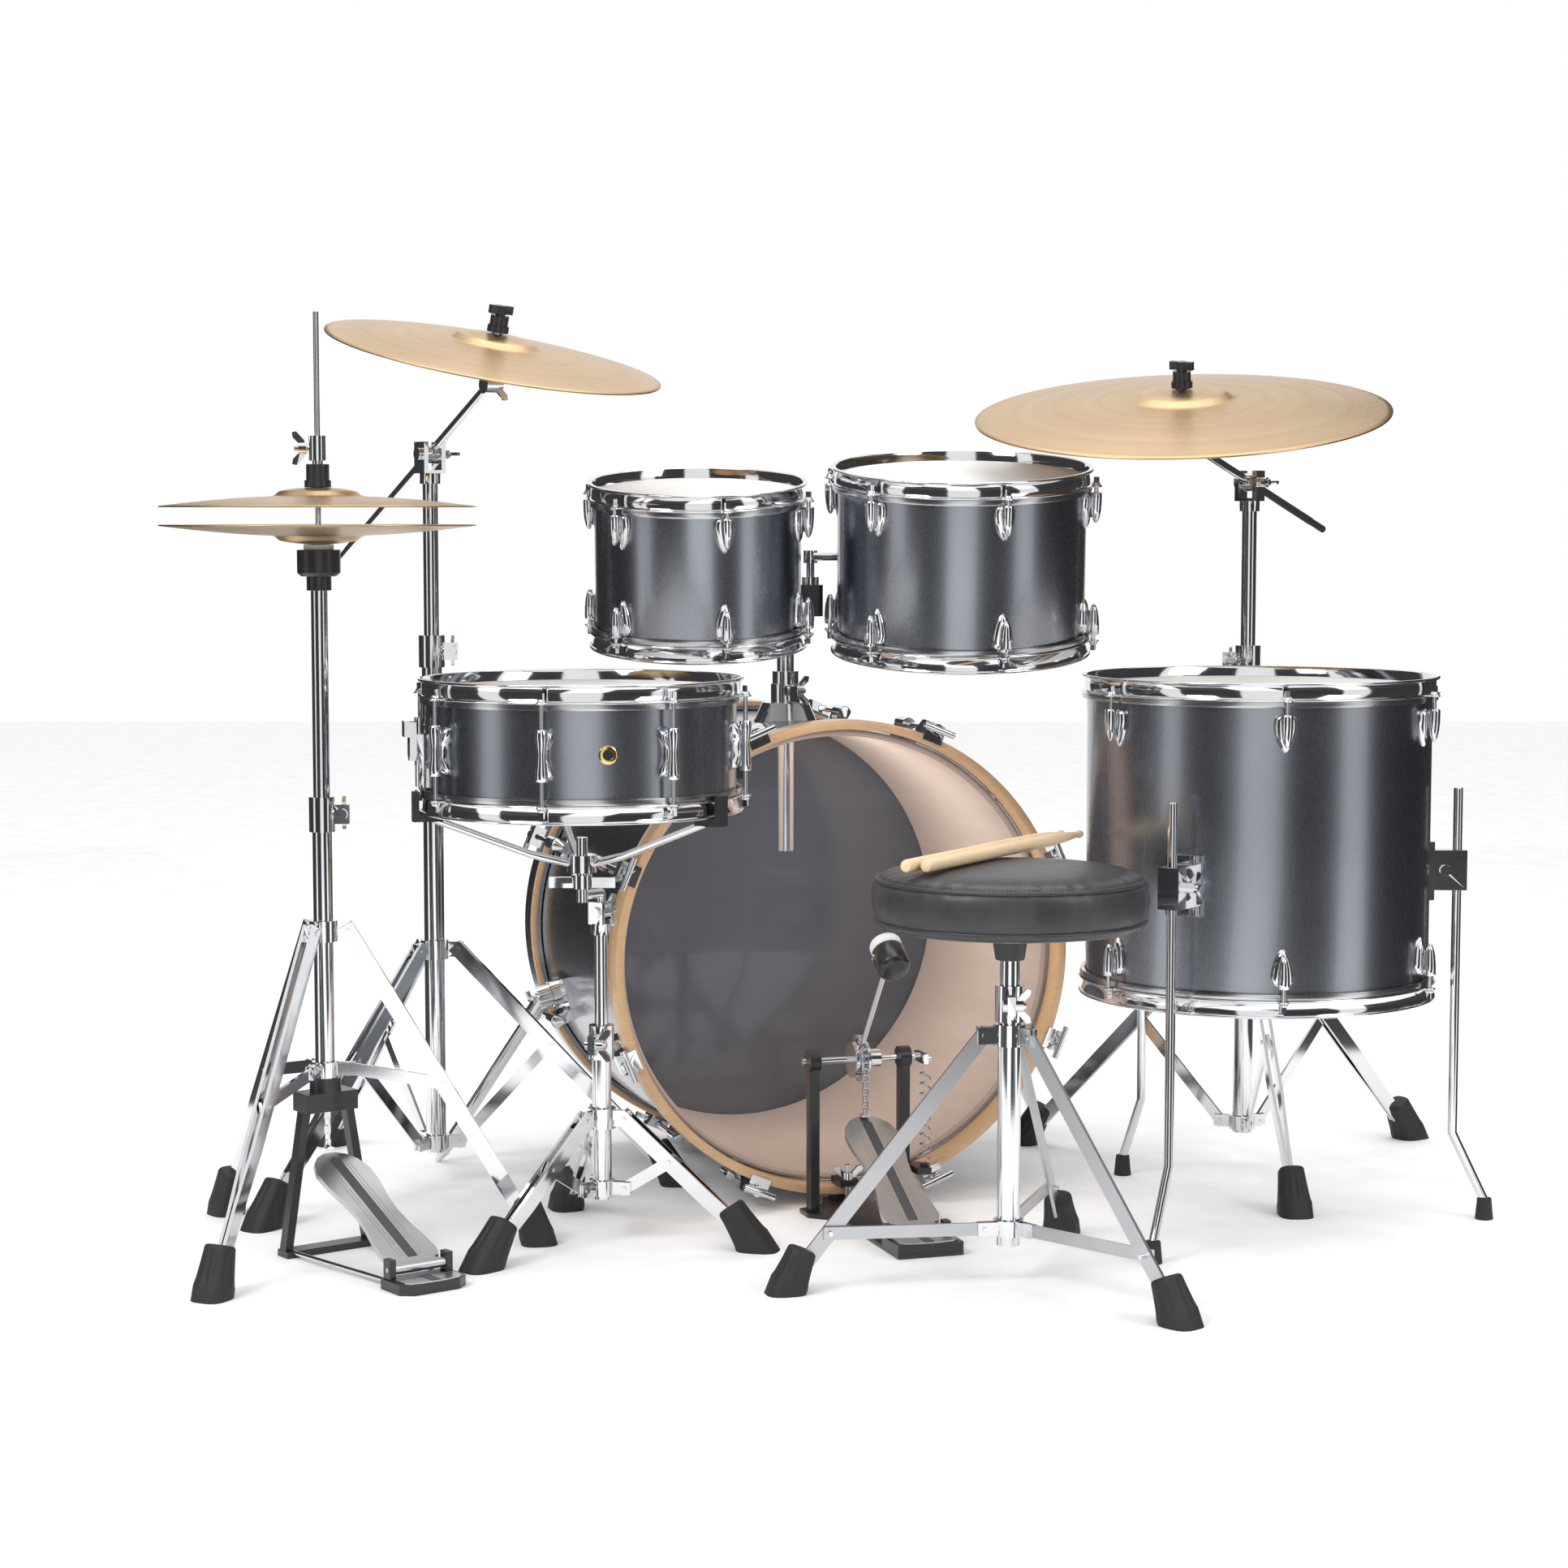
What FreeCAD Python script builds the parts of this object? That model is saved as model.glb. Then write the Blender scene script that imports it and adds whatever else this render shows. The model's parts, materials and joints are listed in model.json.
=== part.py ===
"""Acoustic drum kit in playing position, in millimetres.

A bass drum carries two rack toms on one post. Round it stand a floor tom on three legs, a snare
drum on its stand, a hi-hat on a pedal stand, a crash and a ride cymbal on boom stands, the
drummer's throne with a pair of sticks, and the bass pedal clamped to the batter hoop.
+Z is up, +Y points away from the drummer and +X to the drummer's right. The origin lies on the
floor under the middle of the kit.
"""
import FreeCAD
import Part
import math
import os
from FreeCAD import Placement, Rotation
from FreeCAD import Vector as V

# ---------------------------------------------------------------- driving dimensions
INCH = 25.4
BASS_RADIUS = 11 * INCH            # shell sizes are nominal inches
BASS_DEPTH = 16 * INCH
SMALL_TOM_RADIUS = 5 * INCH
SMALL_TOM_DEPTH = 7 * INCH
LARGE_TOM_RADIUS = 6 * INCH
LARGE_TOM_DEPTH = 8 * INCH
FLOOR_TOM_RADIUS = 8 * INCH
FLOOR_TOM_DEPTH = 14 * INCH
SNARE_RADIUS = 7 * INCH
SNARE_DEPTH = 5 * INCH
SHELL_WALL = 7.0
BASS_WALL = 8.0
HAT_RADIUS = 7 * INCH
CRASH_RADIUS = 8 * INCH
RIDE_RADIUS = 10 * INCH
SEAT_RADIUS = 6 * INCH
SEAT_THICK = 68.0
STICK_LENGTH = 400.0
STICK_RADIUS = 7.2

# head and pressed hoop, measured from the shell's edge
FILM = 0.8
COLLAR_OUT = 7.0                   # flesh hoop stands this far out of the shell
COLLAR_DROP = 15.0
HOOP_GAP = 2.0
HOOP_WALL = 2.3
HOOP_RISE = 13.0
HOOP_SEAT = -7.8
FLANGE_OUT = 8.5
EAR_RADIUS = 7.0
ROD_OUT = 13.0                     # tension rods stand this far out of the shell
ROD_RADIUS = 2.8
RUN_FIT = 0.1                      # clearance of a rod or pin in its hole
TOUCH = 0.05                       # gap of a seat that bears on a curved face

# wooden bass hoops and claws
WOOD_GAP = 1.8
WOOD_THICK = 11.2
WOOD_WIDTH = 38.0
WOOD_PROUD = 30.0                  # the hoop's face stands this far proud of the head
CLAW_WIDTH = 26.0
T_ROD_OUT = 23.0
T_ROD_RADIUS = 3.5

# stand tubes: outside radii and wall
TUBE_WALL = 1.5
SLIDE_FIT = 0.15
STAND_LOWER = 12.7
STAND_UPPER = 9.5
HAT_LOWER = 11.1
SNARE_LOWER = 11.1
SNARE_UPPER = 7.9
THRONE_LOWER = 12.7
THRONE_UPPER = 11.0
BOOM_RADIUS = 5.5
SPIGOT = 45.0                      # reduced tail end of a boom, for a counterweight
SPIGOT_RADIUS = 5.0
LEG_WIDTH = 18.0
LEG_THICK = 4.0
BRACE_THICK = 4.0
PIN_RADIUS = 2.6

# places in the kit: plan positions of the stands and drums, before the kit is centred
BASS_YAW = 18.0                    # the bass drum points this far to the left of straight ahead
BASS_FACE = V(76, 0, 304)          # centre of the batter hoop's outer face
SMALL_TOM = V(-106, 72, 786)
LARGE_TOM = V(218, 62, 792)
TOM_TILT = 8.0
POST_BACK = 240.0                  # the tom post stands this far behind the batter hoop's face
FLOOR_TOM = V(566, -74, 466)
FLOOR_LEG_ANGLES = (-122, -2, 118)
SNARE = V(-232, -226, 585)
SNARE_STAND = V(-212, -204, 0)
HAT_STAND = V(-527, -248, 0)
HAT_FOOT_DIR = -53.0
CRASH_STAND = V(-440, 112, 0)
RIDE_STAND = V(598, 240, 0)
THRONE = V(248, -398, 0)
CRASH_CYMBAL = V(-344, -20, 1058)
CRASH_LEAN = (10.6, 9.7)           # roll to the right, tilt towards the drummer
RIDE_CYMBAL = V(487, 58, 995)
RIDE_LEAN = (-3.0, 13.0)
CRASH_TAIL = 300.0
RIDE_TAIL = 245.0

NODES = {}
Z = V(0, 0, 1)


def add(node, *shapes):
    """Put the solids of the shapes into a node."""
    for shape in shapes:
        NODES.setdefault(node, []).extend(shape.Solids)


def rad(degrees):
    return math.radians(degrees)


def polar(angle, radius, height=0.0):
    return V(radius * math.cos(rad(angle)), radius * math.sin(rad(angle)), height)


def cyl(start, end, radius):
    return Part.makeCylinder(radius, (end - start).Length, start, end - start)


def tube(start, end, outer, inner):
    return cyl(start, end, outer).cut(cyl(start, end, inner))


def cone(start, end, first, last):
    return Part.makeCone(first, last, (end - start).Length, start, end - start)


def frame(origin, x_axis, z_axis):
    """Placement whose local X and Z point along the two given axes."""
    z_unit = V(z_axis).normalize()
    y_unit = z_unit.cross(x_axis).normalize()
    x_unit = y_unit.cross(z_unit)
    return Placement(origin, Rotation(x_unit, y_unit, z_unit, "ZXY"))


def placed(shape, placement):
    moved = shape.copy()
    moved.Placement = placement.multiply(moved.Placement)
    return moved


def plate(points, thickness, middle=True):
    """Extrude an outline in local XY along Z, centred on Z = 0 unless told otherwise."""
    low = -thickness / 2 if middle else 0
    ring = [V(x, y, low) for x, y in points]
    return Part.Face(Part.makePolygon(ring + ring[:1])).extrude(V(0, 0, thickness))


def spin(points):
    """Solid of revolution about Z from an outline of (radius, height) corners."""
    ring = [V(r, 0, z) for r, z in points]
    return Part.Face(Part.makePolygon(ring + ring[:1])).revolve(V(0, 0, 0), Z, 360)


def box(x_size, y_size, z_size, centre):
    corner = centre - V(x_size / 2, y_size / 2, z_size / 2)
    return Part.makeBox(x_size, y_size, z_size, corner)


def fuse(first, *others):
    return first.multiFuse(list(others)).removeSplitter()


def rounded(shape, radius, chooser):
    """Fillet the edges that the chooser accepts."""
    edges = [edge for edge in shape.Edges if chooser(edge)]
    return shape.makeFillet(radius, edges)


# ---------------------------------------------------------------- shared small pieces
WING_HUB = 6.5
WING_SPAN = 19.0
WING_THICK = 4.0
WING_BORE = 3.6


def wing_nut(seat, axis, across):
    """Wing nut that bears on a seat; its wings spread along the across direction."""
    hub = cyl(V(0, 0, 0), V(0, 0, 9), WING_HUB)
    wing = [(4, 2), (9, 3), (WING_SPAN, 12), (WING_SPAN - 1, 17), (12, 16), (4, 8)]
    blades = [placed(plate([(side * x, y) for x, y in wing], WING_THICK),
                     Placement(V(0, 0, 0), Rotation(V(1, 0, 0), 90))) for side in (1, -1)]
    nut = fuse(hub, *blades).cut(cyl(V(0, 0, -1), V(0, 0, 20), WING_BORE))
    return placed(nut, frame(seat, across, axis))


def height_clamp(top, lower_radius, upper_radius, facing):
    """Cast collar at the head of a lower tube, with its clamp ear, bolt and wing nut."""
    out = polar(facing, 1)
    side = polar(facing + 90, 1)
    ear = placed(box(20, 9, 22, V(lower_radius + 10, 0, 0)), frame(top + V(0, 0, -14), out, Z))
    body = cyl(top + V(0, 0, -34), top + V(0, 0, 6), lower_radius + 3.6)
    collar = fuse(body, ear)
    collar = collar.cut(cyl(top + V(0, 0, -35), top, lower_radius + TOUCH))
    collar = collar.cut(cyl(top + V(0, 0, -1), top + V(0, 0, 7), upper_radius + SLIDE_FIT))
    seat = top + V(0, 0, -14) + out * (lower_radius + 12)
    bore = cyl(seat - side * 12, seat + side * 12, WING_BORE)
    collar = collar.cut(bore)
    bolt = fuse(cyl(seat - side * 4.5, seat + side * 16, WING_BORE - RUN_FIT),
                cyl(seat - side * 9, seat - side * 4.5, WING_HUB))
    nut = wing_nut(seat + side * 4.5, side, Z)
    return [collar, bolt, nut]


# ---------------------------------------------------------------- tripods
BOOT_LENGTH = 42.0


class Tripod:
    """Three legs on a collar, three braces on a hub, the lower tube and the rubber feet."""

    def __init__(self, at, angles, reach, collar_z, hub_z, tube_radius, share, double=True,
                 boot_length=BOOT_LENGTH):
        self.at, self.angles, self.reach, self.boot_length = at, angles, reach, boot_length
        self.collar_z, self.hub_z, self.tube_radius = collar_z, hub_z, tube_radius
        self.share, self.double = share, double
        self.pivot = tube_radius + 17
        self.offset = 5.6 if double else 0.0

    def leg(self, angle):
        """Bars of one leg, in world place, and the frame of the leg's upper pivot."""
        run, drop = self.reach - self.pivot, self.collar_z - 12
        length = math.hypot(run, drop)
        along = polar(angle, run / length, -drop / length)
        side = polar(angle + 90, 1)
        place = frame(self.at + polar(angle, self.pivot, self.collar_z), along, along.cross(side))
        end, half = length - 4, LEG_THICK / 2
        if self.double:
            line = [(-7, 0), (0.62 * length, 0), (0.8 * length, -2.8), (end, -2.8)]
            bars = []
            for sign in (1, -1):
                outer = [(x, sign * (self.offset + y + half)) for x, y in line]
                inner = [(x, sign * (self.offset + y - half)) for x, y in reversed(line)]
                bars.append(placed(plate(outer + inner, LEG_WIDTH), place))
        else:
            strip = [(-7, -half), (end, -half), (end, half), (-7, half)]
            bars = [placed(plate(strip, LEG_WIDTH), place)]
        return bars, place, length

    def foot(self, angle, bars):
        """Rubber boot on the leg's end, flat on the floor."""
        run, drop = self.reach - self.pivot, self.collar_z - 12
        length = math.hypot(run, drop)
        back, fall = run / length, drop / length
        top_r, top_z = self.reach - self.boot_length * back, 12 + self.boot_length * fall
        outline = [(self.reach - 20, 0), (self.reach + 21, 0), (self.reach + 19, 9),
                   (top_r + 14 * fall, top_z + 14 * back), (top_r - 14 * fall, top_z - 14 * back)]
        wide = plate(outline, 36)
        narrow_end = placed(wide, frame(self.at, polar(angle, 1), polar(angle - 90, 1)))
        boot = rounded(narrow_end, 4.0, lambda edge: edge.Length > 30 and abs(edge.Length - 36) > 0.01
                       and edge.BoundBox.ZMax > 1)
        for bar in bars:
            boot = boot.cut(bar)
        return boot

    def ears(self, angle, height, tall):
        """Fork or tongue on a ring, its pin, and the pivot point."""
        out, side = polar(angle, 1), polar(angle + 90, 1)
        reach = self.pivot + 7 - self.tube_radius
        middle = self.at + polar(angle, self.tube_radius + reach / 2, height)
        place = frame(middle, out, Z)
        point = self.at + polar(angle, self.pivot, height)
        return reach, place, point, side, tall

    def build(self, node, tube_bottom, tube_top):
        up = self.at
        gap = self.offset - LEG_THICK / 2 - 0.2 if self.double else LEG_THICK / 2 + 0.2
        collar = [cyl(up + V(0, 0, self.collar_z - 12), up + V(0, 0, self.collar_z + 12),
                      self.tube_radius + 5)]
        hub = [cyl(up + V(0, 0, self.hub_z - 9), up + V(0, 0, self.hub_z + 9), self.tube_radius + 4)]
        moving = []
        for angle in self.angles:
            bars, place, length = self.leg(angle)
            add("rubber_feet", self.foot(angle, bars))
            reach, ear_place, pivot, side, tall = self.ears(angle, self.collar_z, 19)
            low_reach, low_place, low_pivot, side, low_tall = self.ears(angle, self.hub_z, 15)
            knee = place.multVec(V(self.share * length, 0, 0))
            if self.double:
                tongue = placed(box(reach, 2 * gap, tall, V(0, 0, 0)), ear_place)
                pins = self.offset + LEG_THICK / 2 + 1.5
                knee_shift = V(0, 0, 0)
            else:
                tongue = fuse(*[placed(box(reach, 3, tall, V(0, sign * (gap + 1.5), 0)), ear_place)
                                for sign in (1, -1)])
                pins = gap + 4.5
                knee_shift = side * (LEG_THICK / 2 + BRACE_THICK / 2 + 0.2)
            fork = fuse(*[placed(box(low_reach, 3, low_tall, V(0, sign * (BRACE_THICK / 2 + 1.7), 0)),
                                 low_place) for sign in (1, -1)])
            fork = placed(fork, Placement(knee_shift, Rotation()))
            low_pivot = low_pivot + knee_shift
            knee_pins = self.offset + LEG_THICK / 2 + 1.5 if self.double else 9.0
            brace_line = (knee + knee_shift - low_pivot)
            strip = plate([(-7, -BRACE_THICK / 2), (brace_line.Length + 7, -BRACE_THICK / 2),
                           (brace_line.Length + 7, BRACE_THICK / 2), (-7, BRACE_THICK / 2)], 14)
            brace = placed(strip, frame(low_pivot, brace_line, brace_line.cross(side)))
            holes = [cyl(point - side * 40, point + side * 40, PIN_RADIUS + RUN_FIT)
                     for point in (pivot, knee, low_pivot)]
            bars = [bar.cut(holes[0]).cut(holes[1]) for bar in bars]
            collar.append(tongue.cut(holes[0]))
            hub.append(fork.cut(holes[2]))
            moving += bars
            moving.append(brace.cut(holes[1]).cut(holes[2]))
            for point, half in ((pivot, pins), (knee, knee_pins), (low_pivot, BRACE_THICK / 2 + 4.5)):
                moving.append(cyl(point - side * half, point + side * half, PIN_RADIUS))
        bore = cyl(up, up + V(0, 0, 900), self.tube_radius + TOUCH)
        add(node, fuse(*collar).cut(bore), fuse(*hub).cut(bore), *moving)
        add(node, tube(up + V(0, 0, tube_bottom), up + V(0, 0, tube_top),
                       self.tube_radius, self.tube_radius - TUBE_WALL))


def upper_tube(node, at, bottom, top, radius):
    add(node, tube(at + V(0, 0, bottom), at + V(0, 0, top), radius, radius - TUBE_WALL))


# ---------------------------------------------------------------- drums
class Drum:
    """Shell with two heads, pressed hoops, lugs and tension rods. Local Z is the drum's axis."""

    def __init__(self, prefix, place, radius, depth, lug_angles, lug_drop):
        self.prefix, self.place, self.radius, self.depth = prefix, place, radius, depth
        self.lug_angles, self.lug_drop = lug_angles, lug_drop

    def node(self, name, *shapes):
        add(self.prefix + "_" + name, *[placed(shape, self.place) for shape in shapes])

    def both_ends(self, shape):
        turned = placed(shape, Placement(V(0, 0, 0), Rotation(polar(self.lug_angles[0], 1), 180)))
        return [shape, turned]

    def shell(self, *holes):
        half = self.depth / 2
        wall = tube(V(0, 0, -half), V(0, 0, half), self.radius, self.radius - SHELL_WALL)
        for hole in holes:
            wall = wall.cut(hole)
        self.node("shell", wall)

    def heads(self):
        r, h = self.radius, self.depth / 2
        outline = [(0, h), (r + 0.4, h), (r + 0.4, h - COLLAR_DROP), (r + COLLAR_OUT, h - COLLAR_DROP),
                   (r + COLLAR_OUT, h + HOOP_SEAT), (r + 1.4, h + HOOP_SEAT), (r + 1.4, h + FILM),
                   (0, h + FILM)]
        self.node("heads", *self.both_ends(spin(outline)))

    def hoops(self):
        r, h = self.radius, self.depth / 2
        inner, outer = r + HOOP_GAP, r + HOOP_GAP + HOOP_WALL
        low, high = h + HOOP_SEAT, h + HOOP_RISE
        outline = [(inner, low), (r + FLANGE_OUT, low), (r + FLANGE_OUT, low + HOOP_WALL),
                   (outer, low + HOOP_WALL), (outer, high - HOOP_WALL),
                   (r + FLANGE_OUT, high - HOOP_WALL), (r + FLANGE_OUT, high), (inner, high)]
        ring = spin(outline)
        ears, holes = [], []
        for angle in self.lug_angles:
            at = polar(angle, r + ROD_OUT, low)
            ears.append(cyl(at, at + V(0, 0, HOOP_WALL), EAR_RADIUS))
            holes.append(cyl(at - V(0, 0, 5), at + V(0, 0, HOOP_WALL + 1), ROD_RADIUS + 0.3))
        bore = cyl(V(0, 0, low - 1), V(0, 0, low + 5), inner + 0.5)
        ring = fuse(ring, *[ear.cut(bore) for ear in ears])
        for hole in holes:
            ring = ring.cut(hole)
        self.node("hoops", *self.both_ends(ring))

    def rod(self, angle, bottom):
        """Tension rod with its square head, down into the lug."""
        low = self.depth / 2 + HOOP_SEAT + HOOP_WALL
        at = polar(angle, self.radius + ROD_OUT)
        shank = cyl(at + V(0, 0, bottom), at + V(0, 0, low), ROD_RADIUS)
        washer = cyl(at + V(0, 0, low), at + V(0, 0, low + 2), 5.2)
        head = placed(box(6, 6, 9, V(0, 0, low + 6)), frame(at, polar(angle, 1), Z))
        return fuse(shank, washer, head)

    def lug_single(self, angle):
        """Teardrop casting that hangs below its rod, hollowed for the rod."""
        r, top = self.radius, self.depth / 2 - self.lug_drop
        place = frame(polar(angle, 0), polar(angle, 1), Z)
        drop = [(13.0, 0), (12.5, -12), (9.5, -24), (4.5, -35), (-4.5, -35), (-9.5, -24), (-12.5, -12),
                (-13.0, 0), (-8.0, 7), (8.0, 7)]
        foot = placed(plate(drop, 8.3, False), frame(V(r - 1, 0, top - 2), V(0, 1, 0), V(1, 0, 0)))
        boss = fuse(cyl(V(r + ROD_OUT, 0, top - 24), V(r + ROD_OUT, 0, top + 6), 7.0),
                    box(12, 13, 26, V(r + 9, 0, top - 10)),
                    cone(V(r + ROD_OUT, 0, top - 24), V(r + ROD_OUT - 4, 0, top - 31), 7.0, 3.0))
        body = fuse(foot, boss)
        body = body.cut(cyl(V(0, 0, top - 80), V(0, 0, top + 40), r + TOUCH))
        body = body.cut(cyl(V(r + ROD_OUT, 0, top - 14), V(r + ROD_OUT, 0, top + 20), ROD_RADIUS + RUN_FIT))
        return placed(body, place), top - 13

    def lug_double(self, angle):
        """Waisted casting on the middle of the shell, taking a rod at both ends."""
        r = self.radius
        outline = [(9, 26), (10, 20), (6.5, 6), (6.5, -6), (10, -20), (9, -26), (-9, -26), (-10, -20),
                   (-6.5, -6), (-6.5, 6), (-10, 20), (-9, 26)]
        body = placed(plate(outline, 21, False), frame(V(r - 1, 0, 0), V(0, 1, 0), V(1, 0, 0)))
        waist = box(16, 30, 14, V(r + 21, 0, 0))
        body = body.cut(waist).cut(cyl(V(0, 0, -60), V(0, 0, 60), r + TOUCH))
        for sign in (1, -1):
            body = body.cut(cyl(V(r + ROD_OUT, 0, sign * 12), V(r + ROD_OUT, 0, sign * 40),
                                ROD_RADIUS + RUN_FIT))
        return placed(body, frame(V(0, 0, 0), polar(angle, 1), Z)), 14.0

    def hardware(self, double=False, extra=()):
        lugs = []
        for angle in self.lug_angles:
            lug, bottom = self.lug_double(angle) if double else self.lug_single(angle)
            rod = self.rod(angle, bottom)
            lugs += [lug, rod, placed(rod, Placement(V(0, 0, 0), Rotation(polar(angle, 1), 180)))]
            if not double:
                lugs.append(placed(lug, Placement(V(0, 0, 0), Rotation(polar(angle, 1), 180))))
        self.node("lugs", *lugs, *extra)


def angles(base, count):
    return [base + 360.0 / count * step for step in range(count)]


# ---------------------------------------------------------------- bass drum
BASS_AXIS = V(-math.sin(rad(BASS_YAW)), math.cos(rad(BASS_YAW)), 0)
BASS_SIDE = V(math.cos(rad(BASS_YAW)), math.sin(rad(BASS_YAW)), 0)
BASS_LENGTH = BASS_DEPTH + 2 * WOOD_PROUD
BASS_ENDS = (frame(BASS_FACE, BASS_SIDE, BASS_AXIS),
             frame(BASS_FACE + BASS_AXIS * BASS_LENGTH, BASS_SIDE, -BASS_AXIS))
BASS_LUGS = angles(22.5, 8)
POST_AT = V(BASS_FACE.x, BASS_FACE.y, 0) + BASS_AXIS * POST_BACK
POST_RADIUS = 11.0
BASS_TOP = BASS_FACE.z + BASS_RADIUS
SPUR_BACK = 330.0
SPUR_DROP = 15.0
SPUR_LENGTH = 268.0


def bass_shell_bore(extra=TOUCH):
    return cyl(BASS_FACE - BASS_AXIS * 5, BASS_FACE + BASS_AXIS * (BASS_LENGTH + 5), BASS_RADIUS + extra)


def build_bass():
    r = BASS_RADIUS
    start = BASS_FACE + BASS_AXIS * WOOD_PROUD
    shell = tube(start, start + BASS_AXIS * BASS_DEPTH, r, r - BASS_WALL)
    shell = shell.cut(cyl(POST_AT + V(0, 0, BASS_TOP - 60), POST_AT + V(0, 0, BASS_TOP + 20),
                          POST_RADIUS + 3))
    add("bass_shell", shell)
    edge, seat = WOOD_PROUD, WOOD_WIDTH
    head = [(0, edge), (r + 0.4, edge), (r + 0.4, seat + 7), (r + COLLAR_OUT, seat + 7),
            (r + COLLAR_OUT, seat), (r + 1.4, seat), (r + 1.4, edge - FILM), (0, edge - FILM)]
    inner = r + WOOD_GAP
    outer = inner + WOOD_THICK
    hoop = tube(V(0, 0, 0), V(0, 0, seat), outer, inner)
    claw = [(r + 6, -3.5), (r + 20, -3.5), (r + 30, 5), (r + 30, 20), (r + 17, 32), (outer + TOUCH, 32),
            (outer + TOUCH, 0), (r + 6, 0)]
    lug_top = 95.0
    for place in BASS_ENDS:
        add("bass_heads", placed(spin(head), place))
        add("bass_hoops", placed(hoop, place))
        for angle in BASS_LUGS:
            turn = frame(V(0, 0, 0), polar(angle, 1), Z)
            stands = placed(plate(claw, CLAW_WIDTH), Placement(V(0, 0, 0), Rotation(V(1, 0, 0), 90)))
            axis = V(r + T_ROD_OUT, 0, 0)
            stands = stands.cut(cyl(axis - Z * 10, axis + Z * 40, T_ROD_RADIUS + 0.4))
            rod = fuse(cyl(axis - Z * 14, axis + Z * (lug_top + 18), T_ROD_RADIUS),
                       cyl(axis - Z * 8, axis - Z * 3.5, 7.0),
                       cyl(axis + V(0, -21, -14), axis + V(0, 21, -14), 4.0))
            drop = [(14, 0), (13, 14), (10, 28), (5, 42), (-5, 42), (-10, 28), (-13, 14), (-14, 0),
                    (-8, -8), (8, -8)]
            foot = frame(V(r - 1, 0, lug_top + 8), V(0, -1, 0), V(1, 0, 0))
            lug = fuse(placed(plate(drop, 8, False), foot),
                       cyl(axis + Z * lug_top, axis + Z * (lug_top + 30), 8.5),
                       box(24, 15, 30, V(r + 11, 0, lug_top + 15)),
                       cone(axis + Z * (lug_top + 30), V(r + 15, 0, lug_top + 42), 8.5, 3.0))
            lug = lug.cut(cyl(V(0, 0, 0), V(0, 0, 300), r + TOUCH))
            lug = lug.cut(cyl(axis + Z * (lug_top - 5), axis + Z * (lug_top + 20), T_ROD_RADIUS + RUN_FIT))
            pieces = [placed(placed(piece, turn), place) for piece in (stands, rod, lug)]
            add("bass_lugs_and_claws", *pieces)


def spur_frame(side):
    """Frame on the shell at a spur: X forward along the drum, Z radially outward."""
    radial = BASS_SIDE * (side * math.cos(rad(SPUR_DROP))) - Z * math.sin(rad(SPUR_DROP))
    at = BASS_FACE + BASS_AXIS * SPUR_BACK + radial * BASS_RADIUS
    return frame(at, BASS_AXIS, radial), radial


def build_spur(side, node):
    place, radial = spur_frame(side)
    base = fuse(placed(box(60, 40, 12, V(0, 0, 2)), place), placed(cyl(V(0, 0, 0), V(0, 0, 22), 17), place))
    base = base.cut(bass_shell_bore())
    add("bass_lugs_and_claws", base.cut(placed(cyl(V(0, 0, 12), V(0, 0, 40), 5.1), place)))
    pivot = place.multVec(V(0, 0, 31))
    lean = math.sqrt(SPUR_LENGTH ** 2 - pivot.z ** 2)
    foot = V(pivot.x, pivot.y, 0) + (BASS_SIDE * side * 0.86 + BASS_AXIS * 0.51).normalize() * lean
    line = (foot - pivot).normalize()
    leg = tube(pivot + line * 2, foot - line * 16, 8.0, 6.3)
    tip = cone(foot - line * 20, foot, 8.0, 3.0)
    knuckle = placed(cyl(V(0, 0, 22.3), V(0, 0, 40), 15), place)
    pin = placed(cyl(V(0, 0, 13), V(0, 0, 40), 5.0), place)
    boss = placed(cyl(V(0, 0, 40), V(0, 0, 47), 6.0), place)
    sleeve = cyl(pivot, pivot + line * 34, 11)
    body = fuse(knuckle, pin, boss, sleeve, cyl(pivot, foot - line * 16, 8.0), tip)
    below = box(3000, 3000, 100, V(0, 0, -50))
    add(node, body.cut(below))


# ---------------------------------------------------------------- tom holder and toms
BLOCK_LOW = 716.0
ARM_RADIUS = 5.2
TOM_ARMS = {}


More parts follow.
